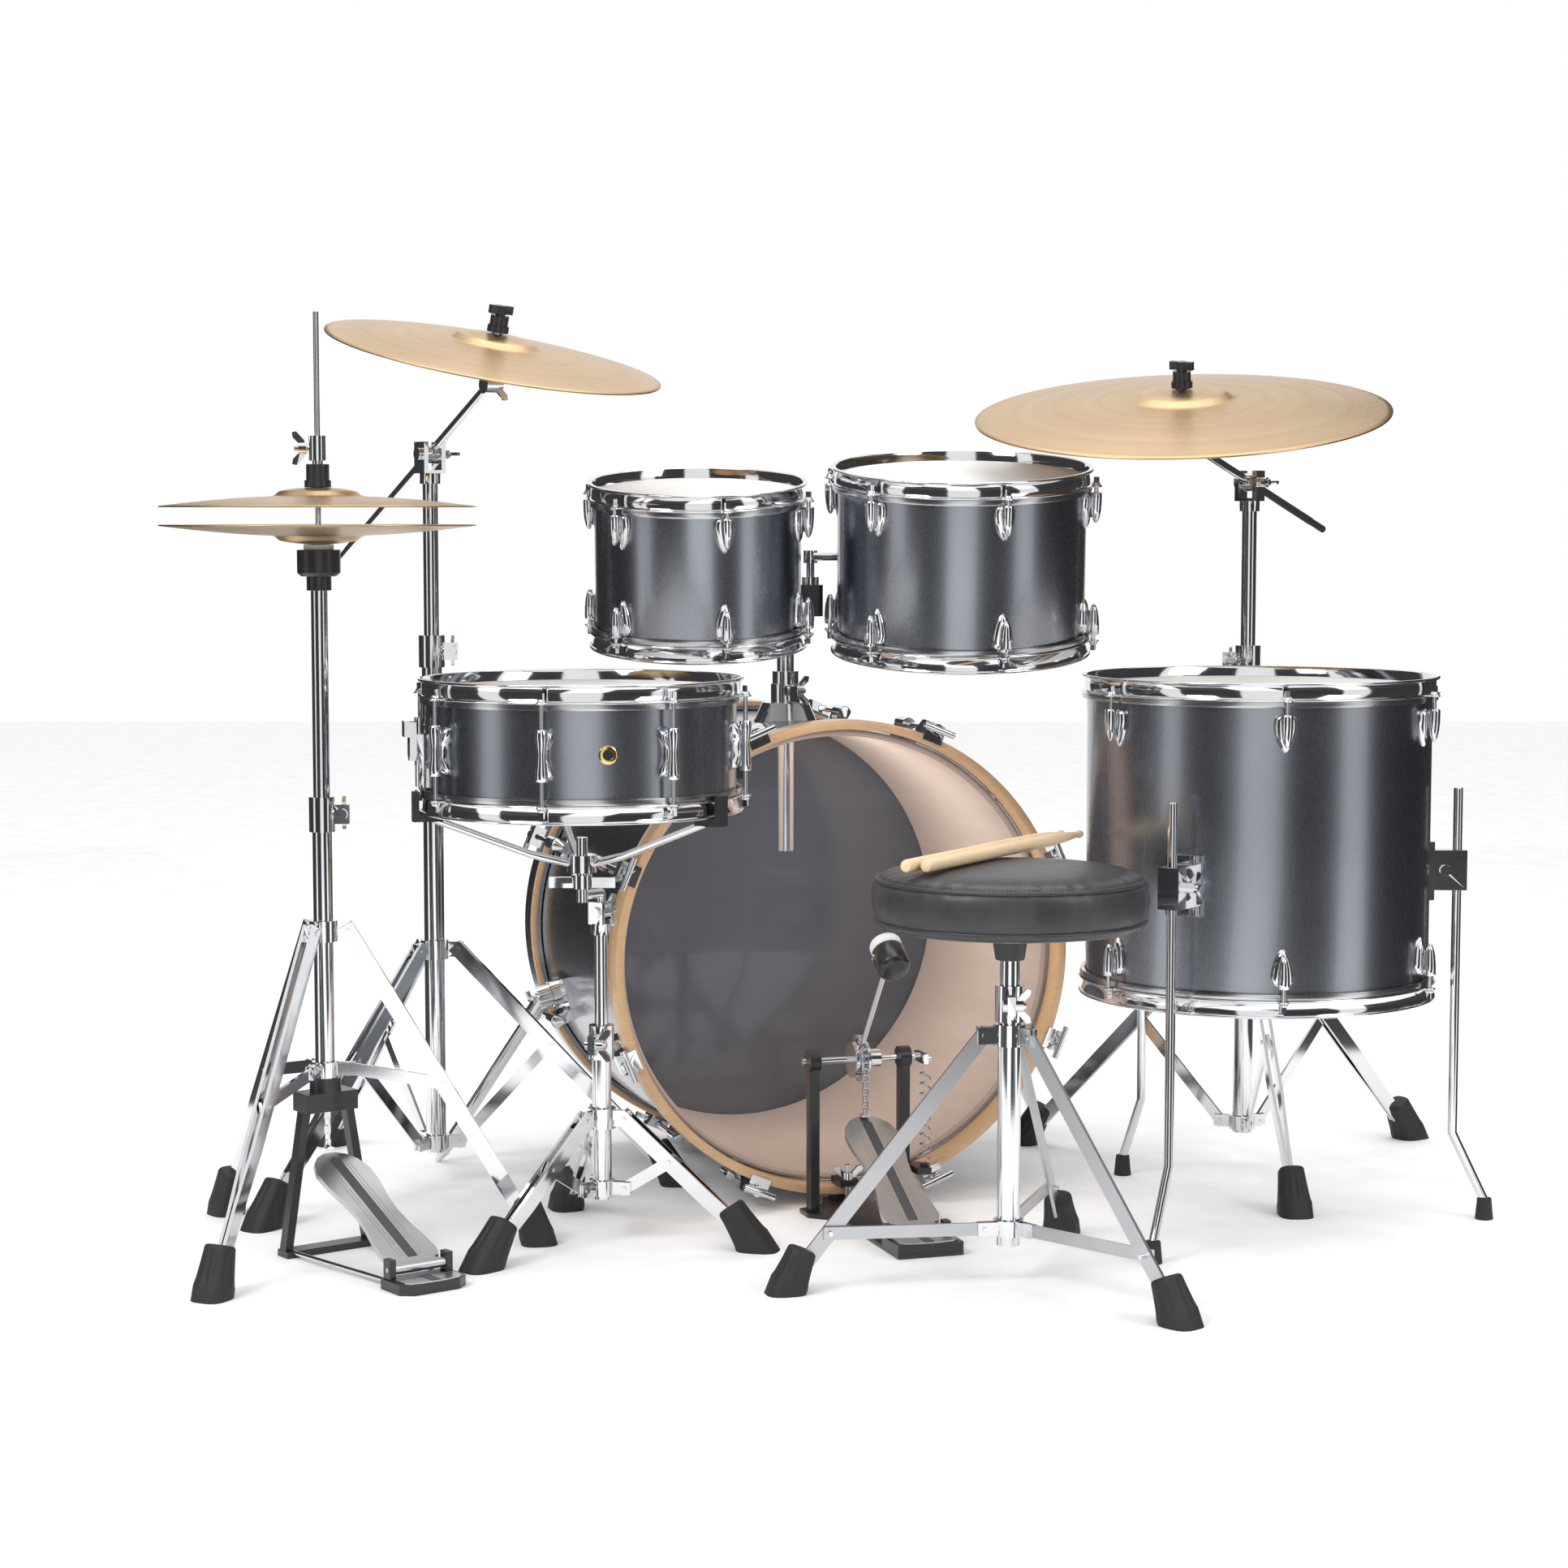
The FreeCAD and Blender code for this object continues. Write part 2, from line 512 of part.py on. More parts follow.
def build_tom_mount():
    base_top = BASS_TOP + 46
    flange = cone(POST_AT + V(0, 0, BASS_TOP - 22), POST_AT + V(0, 0, BASS_TOP + 22), 50, 30)
    boss = cyl(POST_AT + V(0, 0, BASS_TOP + 22), POST_AT + V(0, 0, base_top), 19)
    ear_at = POST_AT - BASS_AXIS * 25 + V(0, 0, base_top - 12)
    ear = placed(box(18, 10, 20, V(0, 0, 0)), frame(ear_at, -BASS_AXIS, Z))
    seat = ear_at - BASS_AXIS * 4 + V(0, 0, 4)
    base = fuse(flange, boss, ear).cut(bass_shell_bore())
    base = base.cut(cyl(POST_AT, POST_AT + V(0, 0, base_top + 5), POST_RADIUS + SLIDE_FIT))
    base = base.cut(cyl(seat - BASS_SIDE * 20, seat + BASS_SIDE * 20, WING_BORE))
    add("tom_mount_base", base, wing_nut(seat + BASS_SIDE * 5, BASS_SIDE, Z))
    add("tom_mount_base", fuse(cyl(seat - BASS_SIDE * 5, seat + BASS_SIDE * 17, WING_BORE - RUN_FIT),
                               cyl(seat - BASS_SIDE * 9, seat - BASS_SIDE * 5, WING_HUB)))
    lock = cyl(POST_AT + V(0, 0, base_top + 0.2), POST_AT + V(0, 0, base_top + 16), 17)
    lock = lock.cut(cyl(POST_AT, POST_AT + V(0, 0, 2000), POST_RADIUS + TOUCH))
    pipe = tube(POST_AT + V(0, 0, BASS_TOP - 170), POST_AT + V(0, 0, BLOCK_LOW + 4), POST_RADIUS,
                POST_RADIUS - TUBE_WALL)
    block = box(96, 34, 40, POST_AT + V(0, 0, BLOCK_LOW + 20))
    block = rounded(block, 5.0, lambda edge: edge.Length < 41 and edge.BoundBox.ZLength > 30)
    block = block.cut(cyl(POST_AT + V(0, 0, BLOCK_LOW - 1), POST_AT + V(0, 0, BLOCK_LOW + 4.02),
                          POST_RADIUS + TOUCH))
    for sign in (1, -1):
        axis = POST_AT + V(sign * 32, 0, BLOCK_LOW)
        block = block.cut(cyl(axis - Z, axis + V(0, 0, 50), ARM_RADIUS + SLIDE_FIT))
    screw = POST_AT + V(0, 17, BLOCK_LOW + 20)
    add("tom_post", lock, pipe, block, wing_nut(screw, V(0, 1, 0), V(1, 0, 0)))
    for name, sign, centre, radius, depth, base_angle in (
            ("tom_small", -1, SMALL_TOM, SMALL_TOM_RADIUS, SMALL_TOM_DEPTH, -74),
            ("tom_large", 1, LARGE_TOM, LARGE_TOM_RADIUS, LARGE_TOM_DEPTH, -74)):
        build_tom(name, sign, centre, radius, depth, base_angle)


def build_tom(name, sign, centre, radius, depth, base_angle):
    """Tom, its clevis and the arm that carries it from the post's block."""
    stub = POST_AT + V(sign * 32, 0, 0)
    reach = V(centre.x - stub.x, centre.y - stub.y, 0)
    out = V(reach).normalize()
    side = Z.cross(out)
    tilt = Placement(centre, Rotation(V(1, 0, 0), TOM_TILT))
    hinge = stub + out * (reach.Length - radius - 24) + V(0, 0, centre.z)
    arm_z = centre.z
    stem = cyl(stub + V(0, 0, BLOCK_LOW - 6), stub + V(0, 0, arm_z + 6), ARM_RADIUS)
    run = cyl(stub + V(0, 0, arm_z), hinge - out * 6, ARM_RADIUS)
    collar = cyl(stub + V(0, 0, BLOCK_LOW + 40.2), stub + V(0, 0, BLOCK_LOW + 50), 11)
    knuckle = cyl(hinge - side * 6.8, hinge + side * 6.8, 10)
    arm = fuse(stem, run, collar, knuckle, cyl(stub + V(0, 0, arm_z - 8), stub + V(0, 0, arm_z + 8), 9))
    add(name.replace("tom_", "tom_arm_"), arm.cut(cyl(hinge - side * 20, hinge + side * 20, 3.6)))
    TOM_ARMS[name] = (stub, hinge, side)
    bare = cyl(tilt.multVec(V(0, 0, -300)), tilt.multVec(V(0, 0, 300)), radius + TOUCH)
    plate_box = placed(box(12, 44, 60, V(8, 0, 0)), frame(hinge + out * 14, out, Z))
    cheeks = [placed(box(30, 5, 20, V(6, shift, 0)), frame(hinge, out, Z)) for shift in (9.6, -9.6)]
    clevis = fuse(plate_box, *cheeks).cut(bare)
    clevis = clevis.cut(cyl(hinge - side * 20, hinge + side * 20, 3.6))
    bolt = fuse(cyl(hinge - side * 12.1, hinge + side * 24, 3.5),
                cyl(hinge - side * 16, hinge - side * 12.1, 7))
    nut = wing_nut(hinge + side * 12.1, side, Z).cut(cyl(hinge, hinge + side * 60, 3.6))
    drum = Drum(name, tilt, radius, depth, angles(base_angle, 6), 22)
    drum.shell()
    drum.heads()
    drum.hoops()
    drum.hardware()
    add(name + "_lugs", clevis, bolt, nut)


# ---------------------------------------------------------------- floor tom
LEG_ROD = 5.6
LEG_RADIUS = FLOOR_TOM_RADIUS + 35
LEG_KNEE = 105.0
LEG_TOP = FLOOR_TOM.z + 56


def build_floor_tom():
    place = Placement(FLOOR_TOM, Rotation())
    drum = Drum("floor_tom", place, FLOOR_TOM_RADIUS, FLOOR_TOM_DEPTH, angles(-90, 6), 30)
    drum.shell()
    drum.heads()
    drum.hoops()
    brackets = []
    for angle, name in zip(FLOOR_LEG_ANGLES, ("front", "right", "rear")):
        out, side = polar(angle, 1), polar(angle + 90, 1)
        turn = frame(V(0, 0, 0), out, Z)
        gap = LEG_RADIUS - FLOOR_TOM_RADIUS
        block = box(gap + 12, 26, 48, V(FLOOR_TOM_RADIUS + gap / 2 + 4, 0, -42))
        block = fuse(block, box(8, 44, 70, V(FLOOR_TOM_RADIUS + 1, 0, -42)))
        block = block.cut(cyl(V(0, 0, -200), V(0, 0, 200), FLOOR_TOM_RADIUS + TOUCH))
        block = block.cut(cyl(V(LEG_RADIUS, 0, -200), V(LEG_RADIUS, 0, 200), LEG_ROD + SLIDE_FIT))
        block = block.cut(cyl(V(LEG_RADIUS - 16, -30, -42), V(LEG_RADIUS - 16, 30, -42), WING_BORE))
        bolt = fuse(cyl(V(LEG_RADIUS - 16, -13, -42), V(LEG_RADIUS - 16, 26, -42), WING_BORE - RUN_FIT),
                    cyl(V(LEG_RADIUS - 16, -17, -42), V(LEG_RADIUS - 16, -13, -42), WING_HUB))
        nut = wing_nut(V(LEG_RADIUS - 16, 13, -42), V(0, 1, 0), Z)
        brackets += [placed(piece, turn) for piece in (block, bolt, nut)]
        top = FLOOR_TOM + polar(angle, LEG_RADIUS)
        foot = V(FLOOR_TOM.x, FLOOR_TOM.y, 0) + polar(angle, LEG_RADIUS + 40)
        knee = V(top.x, top.y, LEG_KNEE)
        toe = foot + V(0, 0, 22)
        rod = fuse(cyl(knee, V(top.x, top.y, LEG_TOP), LEG_ROD), cyl(toe, knee, LEG_ROD),
                   Part.makeSphere(LEG_ROD, knee))
        boot = cone(foot, foot + V(0, 0, 26), 11, 8.5)
        add("floor_tom_leg_" + name, rod.cut(boot), boot)
    drum.hardware(False, brackets)


# ---------------------------------------------------------------- snare drum and stand
SNARE_BALL = 388.0
SNARE_HUB = 447.0
BASKET_AXIS = 57.0                 # the basket tilts about a level axis in this direction
SNARE_LOWER_TOP = 250.0
THROW_ANGLE = 193.0
THROW_PIVOT = -6.0


def build_snare():
    place = Placement(SNARE, Rotation())
    drum = Drum("snare", place, SNARE_RADIUS, SNARE_DEPTH, angles(-99.5, 8), 20)
    r, half = SNARE_RADIUS, SNARE_DEPTH / 2
    vent = cyl(polar(-77, r - 20, 0), polar(-77, r + 20, 0), 6.0)
    drum.shell(vent)
    drum.heads()
    drum.hoops()
    drum.hardware(True)
    out = polar(THROW_ANGLE, 1)
    turn = frame(V(0, 0, 0), out, Z)
    block = fuse(box(10, 34, 60, V(r, 0, -16)), box(12, 14, 60, V(r + 6, 0, -16)),
                 box(12, 14, 20, V(r + 14, 0, THROW_PIVOT)))
    block = block.cut(cyl(V(0, 0, -200), V(0, 0, 200), r + TOUCH))
    block = block.cut(cyl(V(r + 14, -30, THROW_PIVOT), V(r + 14, 30, THROW_PIVOT), 3.1))
    knob = cyl(V(r + 8, 0, 14.1), V(r + 8, 0, 33), 5)
    drum.node("strainer", placed(block, turn), placed(knob, turn))
    arms = [box(8, 5, 40, V(r + 16, shift, THROW_PIVOT + 14)) for shift in (10.2, -10.2)]
    lever = fuse(*arms, box(6, 25.4, 18, V(r + 23, 0, THROW_PIVOT + 26)),
                 cyl(V(r + 14, -12.6, THROW_PIVOT), V(r + 14, 12.6, THROW_PIVOT), 3.0))
    drum.node("throw_lever", placed(lever, turn))
    butt = placed(box(12, 30, 34, V(r + 6, 0, -26)), frame(V(0, 0, 0), out * -1, Z))
    butt = butt.cut(cyl(V(0, 0, -200), V(0, 0, 200), r + TOUCH))
    drum.node("strainer", butt)
    low = -half - FILM
    ends = [placed(box(10, 40, 1.6, V(r - 34, 0, low - 1.0)), frame(V(0, 0, 0), out * sign, Z))
            for sign in (1, -1)]
    wires = [placed(cyl(V(-(r - 39), shift, low - 1.0), V(r - 39, shift, low - 1.0), 0.8), turn)
             for shift in range(-18, 19, 4)]
    drum.node("strainer", fuse(ends[0], *wires, ends[1]))


def build_snare_stand():
    at = SNARE_STAND
    stand = Tripod(at, (-13, 107, 227), 178, 147, 65, SNARE_LOWER, 0.36)
    stand.build("snare_tripod", 52, SNARE_LOWER_TOP)
    add("snare_tripod", *height_clamp(at + V(0, 0, SNARE_LOWER_TOP), SNARE_LOWER, SNARE_UPPER, 250))
    upper_tube("snare_stand_post", at, 90, SNARE_BALL - 14, SNARE_UPPER)
    ball = at + V(0, 0, SNARE_BALL)
    side = polar(BASKET_AXIS, 1)
    out = side.cross(Z)
    head = fuse(cyl(at + V(0, 0, SNARE_BALL - 26), at + V(0, 0, SNARE_BALL - 13), 12),
                *[placed(box(20, 5, 26, V(0, shift, -1)), frame(ball, out, Z)) for shift in (8.6, -8.6)])
    head = head.cut(cyl(at, at + V(0, 0, SNARE_BALL - 14), SNARE_UPPER + TOUCH))
    head = head.cut(cyl(ball - side * 20, ball + side * 20, 3.6))
    bolt = fuse(cyl(ball - side * 11.2, ball + side * 24, 3.5),
                cyl(ball - side * 15, ball - side * 11.2, 7))
    nut = wing_nut(ball + side * 11.2, side, Z)
    add("snare_stand_post", head, bolt, nut)
    elbow = ball + V(0, 0, 22)
    shaft = V(SNARE.x, SNARE.y, elbow.z)
    knuckle = cyl(ball - side * 5.7, ball + side * 5.7, 10)
    body = fuse(knuckle, cyl(ball + V(0, 0, 4), elbow, 5.5), cyl(elbow, shaft, 5.5),
                Part.makeSphere(5.5, elbow),
                cyl(shaft - V(0, 0, 8), shaft + V(0, 0, SNARE_HUB + 30 - elbow.z), 6.5))
    body = body.cut(cyl(ball - side * 9, ball + side * 9, 3.6))
    hub_at = V(SNARE.x, SNARE.y, SNARE_HUB)
    hub = tube(hub_at - V(0, 0, 10), hub_at + V(0, 0, 10), 17, 6.5 + TOUCH)
    handle = fuse(tube(hub_at - V(0, 0, 29), hub_at - V(0, 0, 13), 12, 6.5 + TOUCH),
                  *[placed(box(28, 9, 12, V(24, 0, 0)), frame(hub_at - V(0, 0, 22), V(sign, 0, 0), Z))
                    for sign in (1, -1)])
    add("snare_basket", body, hub, handle)
    rim_z = SNARE.z - SNARE_DEPTH / 2 - HOOP_RISE
    for angle in (-167, -32, 103):
        place = frame(hub_at, polar(angle, 1), Z)
        rise = rim_z - SNARE_HUB - 7
        line = [V(13, 0, 0), V(60, 0, 12), V(SNARE_RADIUS - 8, 0, rise)]
        bars = [fuse(cyl(line[0], line[1], 4.5), cyl(line[1], line[2], 4.5), Part.makeSphere(4.5, line[1]))]
        bars[0] = bars[0].cut(cyl(V(0, 0, -30), V(0, 0, 30), 17 + TOUCH))
        tip = SNARE_RADIUS + FLANGE_OUT
        pad = fuse(box(34, 17, 9, V(tip - 9, 0, rise + 2.4)), box(7, 17, 34, V(tip + 4.5, 0, rise + 14.9)))
        pad = pad.cut(cyl(line[1], line[2], 4.6))
        add("snare_basket", placed(bars[0], place), placed(pad, place))


# ---------------------------------------------------------------- cymbals
def cymbal(radius, bell_radius, bell_rise, bow_rise, hole, thick):
    """Cymbal outline turned about Z; the edge lies at Z = 0 and the bell points up."""
    top = []
    for step in range(7):
        share = step / 6
        r = bell_radius * share
        top.append((max(r, hole), bow_rise + bell_rise * math.sqrt(max(0.0, 1 - (0.92 * share) ** 2))))
    for step in range(1, 9):
        share = step / 8
        r = bell_radius + (radius - bell_radius) * share
        top.append((r, bow_rise * (1 - share ** 1.5)))
    return spin(top + [(r, z - thick) for r, z in reversed(top)])


def stack(base, axis, node, *parts):
    """Discs stacked on an axis: each part is (start, end, radius, bore)."""
    for start, end, radius, bore in parts:
        add(node, tube(base + axis * start, base + axis * end, radius, bore))


HAT_LOWER_TOP = 520.0
HAT_EDGE = 856.0
HAT_GAP = 21.0
HAT_RISE = 21.0
HAT_BELL = 10.0
HAT_THICK = 1.4
HAT_ROD = 3.2
HAT_BASE = 176.0
HAT_TOP = 1074.0


def build_hats():
    at = HAT_STAND
    stand = Tripod(at, (8, 128, 248), 240, 372, 212, HAT_LOWER, 0.5)
    stand.build("hihat_tripod", HAT_BASE + 4, HAT_LOWER_TOP)
    add("hihat_tripod", *height_clamp(at + V(0, 0, HAT_LOWER_TOP), HAT_LOWER, STAND_UPPER, 0))
    seat = HAT_EDGE - HAT_GAP - HAT_RISE - HAT_THICK
    upper_tube("hihat_upper_tube", at, 300, seat - 26, STAND_UPPER)
    cup = at + V(0, 0, seat)
    outer = fuse(cyl(cup - V(0, 0, 52), cup - V(0, 0, 36), 14),
                 cone(cup - V(0, 0, 36), cup - V(0, 0, 32), 20, 24.5),
                 cyl(cup - V(0, 0, 32), cup - V(0, 0, 6), 24.5))
    outer = outer.cut(cyl(cup - V(0, 0, 60), cup - V(0, 0, 25), STAND_UPPER + TOUCH))
    add("hihat_upper_tube", outer.cut(cyl(cup - V(0, 0, 60), cup, HAT_ROD + 1)))
    stack(cup, Z, "hihat_upper_tube", (-6, 0, 17, 6.4))
    inner = tube(cup - V(0, 0, 6), cup + V(0, 0, 9), 6.0, HAT_ROD + 1)
    add("hihat_upper_tube", inner)
    plate_up = cymbal(HAT_RADIUS, 48, HAT_BELL, HAT_RISE - HAT_BELL, 6.6, HAT_THICK)
    flipped = placed(plate_up, Placement(V(0, 0, 0), Rotation(V(1, 0, 0), 180)))
    lower_edge = at + V(0, 0, HAT_EDGE - HAT_GAP - HAT_THICK)
    add("hihat_bottom_cymbal", placed(flipped, Placement(lower_edge, Rotation())))
    add("hihat_top_cymbal", placed(plate_up, Placement(at + V(0, 0, HAT_EDGE), Rotation())))
    bell = at + V(0, 0, HAT_EDGE + HAT_RISE)
    stack(bell, Z, "hihat_clutch", (0, 8, 15, 6.1), (8, 26, 13, 6.1),
          (-HAT_THICK - 10, -HAT_THICK - 1.6, 11, 6.1))
    sleeve = tube(bell - V(0, 0, HAT_THICK + 12), bell + V(0, 0, 30), 6.0, HAT_ROD + RUN_FIT)
    block = tube(bell + V(0, 0, 30), bell + V(0, 0, 58), 9.5, HAT_ROD + RUN_FIT)
    seat_at = bell + V(-9.5, 0, 44)
    screw = cyl(bell + V(-HAT_ROD - 0.3, 0, 44), bell + V(-26, 0, 44), 2.9)
    add("hihat_clutch", sleeve, block.cut(cyl(bell + V(0, 0, 44), bell + V(-40, 0, 44), 3.0)), screw)
    add("hihat_clutch", wing_nut(seat_at - V(2, 0, 0), V(-1, 0, 0), Z).cut(
        cyl(bell + V(0, 0, 44), bell + V(-40, 0, 44), 3.0)))
    build_hat_pedal()


HAT_HEEL = 206.0
HAT_HEEL_Z = 22.0
HAT_TOE_Z = 112.0
HAT_YOKE = 33.0
HAT_SPREAD = 58.0


def build_hat_pedal():
    """Frame under the tube, footboard, chain and pull rod. Local X runs from toe to heel."""
    place = frame(HAT_STAND, polar(HAT_FOOT_DIR, 1), Z)

    def put(node, *shapes):
        add(node, *[placed(shape, place) for shape in shapes])

    casting = fuse(box(34, 2 * HAT_YOKE, 22, V(0, 0, HAT_BASE)),
                   cyl(V(0, 0, HAT_BASE - 11), V(0, 0, HAT_BASE + 26), 18))
    casting = casting.cut(cyl(V(0, 0, HAT_BASE + 4), V(0, 0, 900), HAT_LOWER + TOUCH))
    casting = casting.cut(cyl(V(0, 0, 0), V(0, 0, 900), 8.0))
    under = HAT_BASE - 11
    posts = [placed(plate([(sign * HAT_SPREAD, 8), (sign * HAT_YOKE, under), (sign * (HAT_YOKE - 10), under),
                           (sign * (HAT_SPREAD - 10), 8)], 14), frame(V(0, 0, 0), V(0, 1, 0), V(1, 0, 0)))
             for sign in (1, -1)]
    foot_bar = box(24, 2 * HAT_SPREAD, 8, V(0, 0, 4))
    rods = [cyl(V(13, shift, 7), V(HAT_HEEL - 11, shift * 0.62, 7), 2.6) for shift in (50, -50)]
    corner = [(26, 28), (15, 42), (-26, 42)]
    heel = placed(plate(corner + [(x, -y) for x, y in reversed(corner)], 12),
                  Placement(V(HAT_HEEL + 16, 0, 6), Rotation()))
    lugs = [box(14, 8, 22, V(HAT_HEEL, shift, 23)) for shift in (36, -36)]
    hole = cyl(V(HAT_HEEL, -60, HAT_HEEL_Z), V(HAT_HEEL, 60, HAT_HEEL_Z), 3.0)
    put("hihat_pedal_frame", casting, *posts, foot_bar, *rods, heel)
    put("hihat_pedal_frame", *[lug.cut(hole) for lug in lugs])
    put("hihat_footboard", *footboard(HAT_HEEL, HAT_HEEL_Z, 8.0, HAT_TOE_Z, 31.6))
    top_link = HAT_BASE - 4
    links = []
    count = 6
    low = HAT_TOE_Z + 9
    pitch = (top_link - low) / count
    for number in range(count):
        middle = V(4, 0, low + pitch * (number + 0.5))
        wide = (7, 3) if number % 2 else (3, 7)
        links.append(box(wide[0], wide[1], pitch + 1.6, middle))
    hook = box(9, 12, 3, V(6, 0, low - 1.0))
    rod = cyl(V(0, 0, top_link - 2), V(0, 0, HAT_TOP), HAT_ROD)
    put("hihat_pull_rod", fuse(rod, hook, *links))


def footboard(heel, heel_z, toe, toe_z, half_hinge):
    """Long footboard from toe to heel with its hinge barrel and pin, in pedal axes."""
    run, rise = heel - toe, toe_z - heel_z
    length = math.hypot(run, rise)
    place = frame(V(heel, 0, heel_z), V(-run, 0, rise), V(rise, 0, run))
    outline = [(10, 31), (22, 35), (length * 0.20, 33), (length * 0.34, 28), (length * 0.46, 26),
               (length * 0.58, 28), (length * 0.72, 33), (length * 0.84, 34), (length * 0.93, 28),
               (length * 0.98, 19), (length + 2, 7)]
    ring = outline + [(x, -y) for x, y in reversed(outline)]
    deck = placed(plate(ring, 6), place)
    barrel = cyl(V(heel, -half_hinge, heel_z), V(heel, half_hinge, heel_z), 6.0)
    pin = cyl(V(heel, -half_hinge - 8, heel_z), V(heel, half_hinge + 8, heel_z), 2.9)
    neck = placed(box(14, 50, 6, V(9, 0, 0)), place)
    return [fuse(barrel, pin, neck, deck)]


# ---------------------------------------------------------------- boom cymbal stands
class BoomStand:
    """Tripod stand with a boom that carries one suspended cymbal."""

    def __init__(self, name, at, feet, reach, collar_z, lower_top, tilter_z, facing,
                 centre, lean, tail, radius):
        self.name, self.at, self.feet, self.reach = name, at, feet, reach
        self.collar_z, self.lower_top, self.tilter_z, self.facing = collar_z, lower_top, tilter_z, facing
        self.centre, self.lean, self.tail, self.radius = centre, lean, tail, radius
        self.pivot = at + V(0, 0, tilter_z)
        roll, tilt = lean
        self.normal = Rotation(V(0, 1, 0), roll).multVec(Rotation(V(1, 0, 0), tilt).multVec(Z))
        self.mount = centre - self.normal * 58
        flat = V(self.mount.x - at.x, self.mount.y - at.y, 0)
        self.out = V(flat).normalize()
        self.side = Z.cross(self.out)
        self.line = (self.mount - self.pivot).normalize()

    def build(self):
        stand = Tripod(self.at, self.feet, self.reach, self.collar_z, 56, STAND_LOWER, 0.42)
        stand.build(self.name + "_tripod", 43, self.lower_top)
        add(self.name + "_tripod", *height_clamp(self.at + V(0, 0, self.lower_top), STAND_LOWER,
                                                 STAND_UPPER, self.facing))
        self.build_upper()
        self.build_boom()
        self.build_cymbal()

    def build_upper(self):
        node, side, pivot = self.name + "_upper_tube", self.side, self.pivot
        upper_tube(node, self.at, self.lower_top - 240, self.tilter_z - 23, STAND_UPPER)
        neck = cyl(pivot - V(0, 0, 37), pivot - V(0, 0, 20), 13)
        cheeks = [placed(box(26, 6, 37, V(0, shift, -3.5)), frame(pivot, self.out, Z))
                  for shift in (12.2, -12.2)]
        bridge = placed(box(26, 30, 4, V(0, 0, -22)), frame(pivot, self.out, Z))
        head = fuse(neck, bridge, *cheeks)
        head = head.cut(cyl(self.at, pivot - V(0, 0, 23), STAND_UPPER + TOUCH))
        head = head.cut(cyl(pivot - side * 30, pivot + side * 30, 4.1))
        add(node, head)

    def build_boom(self):
        node, side, pivot, line = self.name + "_boom", self.side, self.pivot, self.line
        drum = cyl(pivot - side * 8.9, pivot + side * 8.9, 12)
        pin = cyl(pivot - side * 19, pivot + side * 28, 4.0)
        boss = cyl(pivot - side * 19, pivot - side * 15.6, 8)
        tail = pivot - line * self.tail
        rod = fuse(cyl(tail + line * SPIGOT, self.mount, BOOM_RADIUS),
                   cyl(tail, tail + line * SPIGOT, SPIGOT_RADIUS))
        tip = self.mount
        ball = cyl(tip - side * 8, tip + side * 8, 11)
        post = cyl(tip, self.centre + self.normal * 30, 3.9)
        seat = cyl(tip + self.normal * 14, self.centre - self.normal * 12, 9)
        add(node, fuse(drum, pin, boss, rod, ball, post, seat))
        add(node, wing_nut(pivot + side * 15.6, side, self.out).cut(cyl(pivot, pivot + side * 60, 4.1)))
        across = V(self.side)
        add(node, wing_nut(tip + across * 8, across, Z))
        axis, base = self.normal, self.centre
        stack(base, axis, node, (-12, -0.3, 15, 4.0), (6.2, 14, 13, 4.0), (14, 26, 11, 4.0))
        cap = base + axis * 26
        add(node, fuse(cyl(cap + axis * 4, cap + axis * 10, 5.5), placed(box(30, 7, 10, V(0, 0, 7)),
                  frame(cap, across, axis)), cyl(cap, cap + axis * 12, 6)).cut(
                      cyl(cap - axis * 5, cap + axis * 4.0, 4.0)))

    def build_cymbal(self):
        r = self.radius
        bell, bow = 0.155 * r + 20, 0.075 * r
        shape = cymbal(r, bell, 11, bow, 7.0, 1.8)
        top = Placement(V(0, 0, -bow - 11), Rotation())
        place = frame(self.centre + self.normal * 3.6, Rotation(V(0, 1, 0), self.lean[0]).multVec(V(1, 0, 0)),
                      self.normal)
        add(self.name + "_cymbal", placed(placed(shape, top), place))


CRASH = BoomStand("crash", CRASH_STAND, (0, 124, 234), 300, 301, 690, 921, 0,
                  CRASH_CYMBAL, CRASH_LEAN, CRASH_TAIL, CRASH_RADIUS)
RIDE = BoomStand("ride", RIDE_STAND, (34, 154, 274), 300, 310, 672, 887, 180,
                 RIDE_CYMBAL, RIDE_LEAN, RIDE_TAIL, RIDE_RADIUS)


# ---------------------------------------------------------------- throne and sticks
THRONE_LOWER_TOP = 326.0
SEAT_Z = 396.0


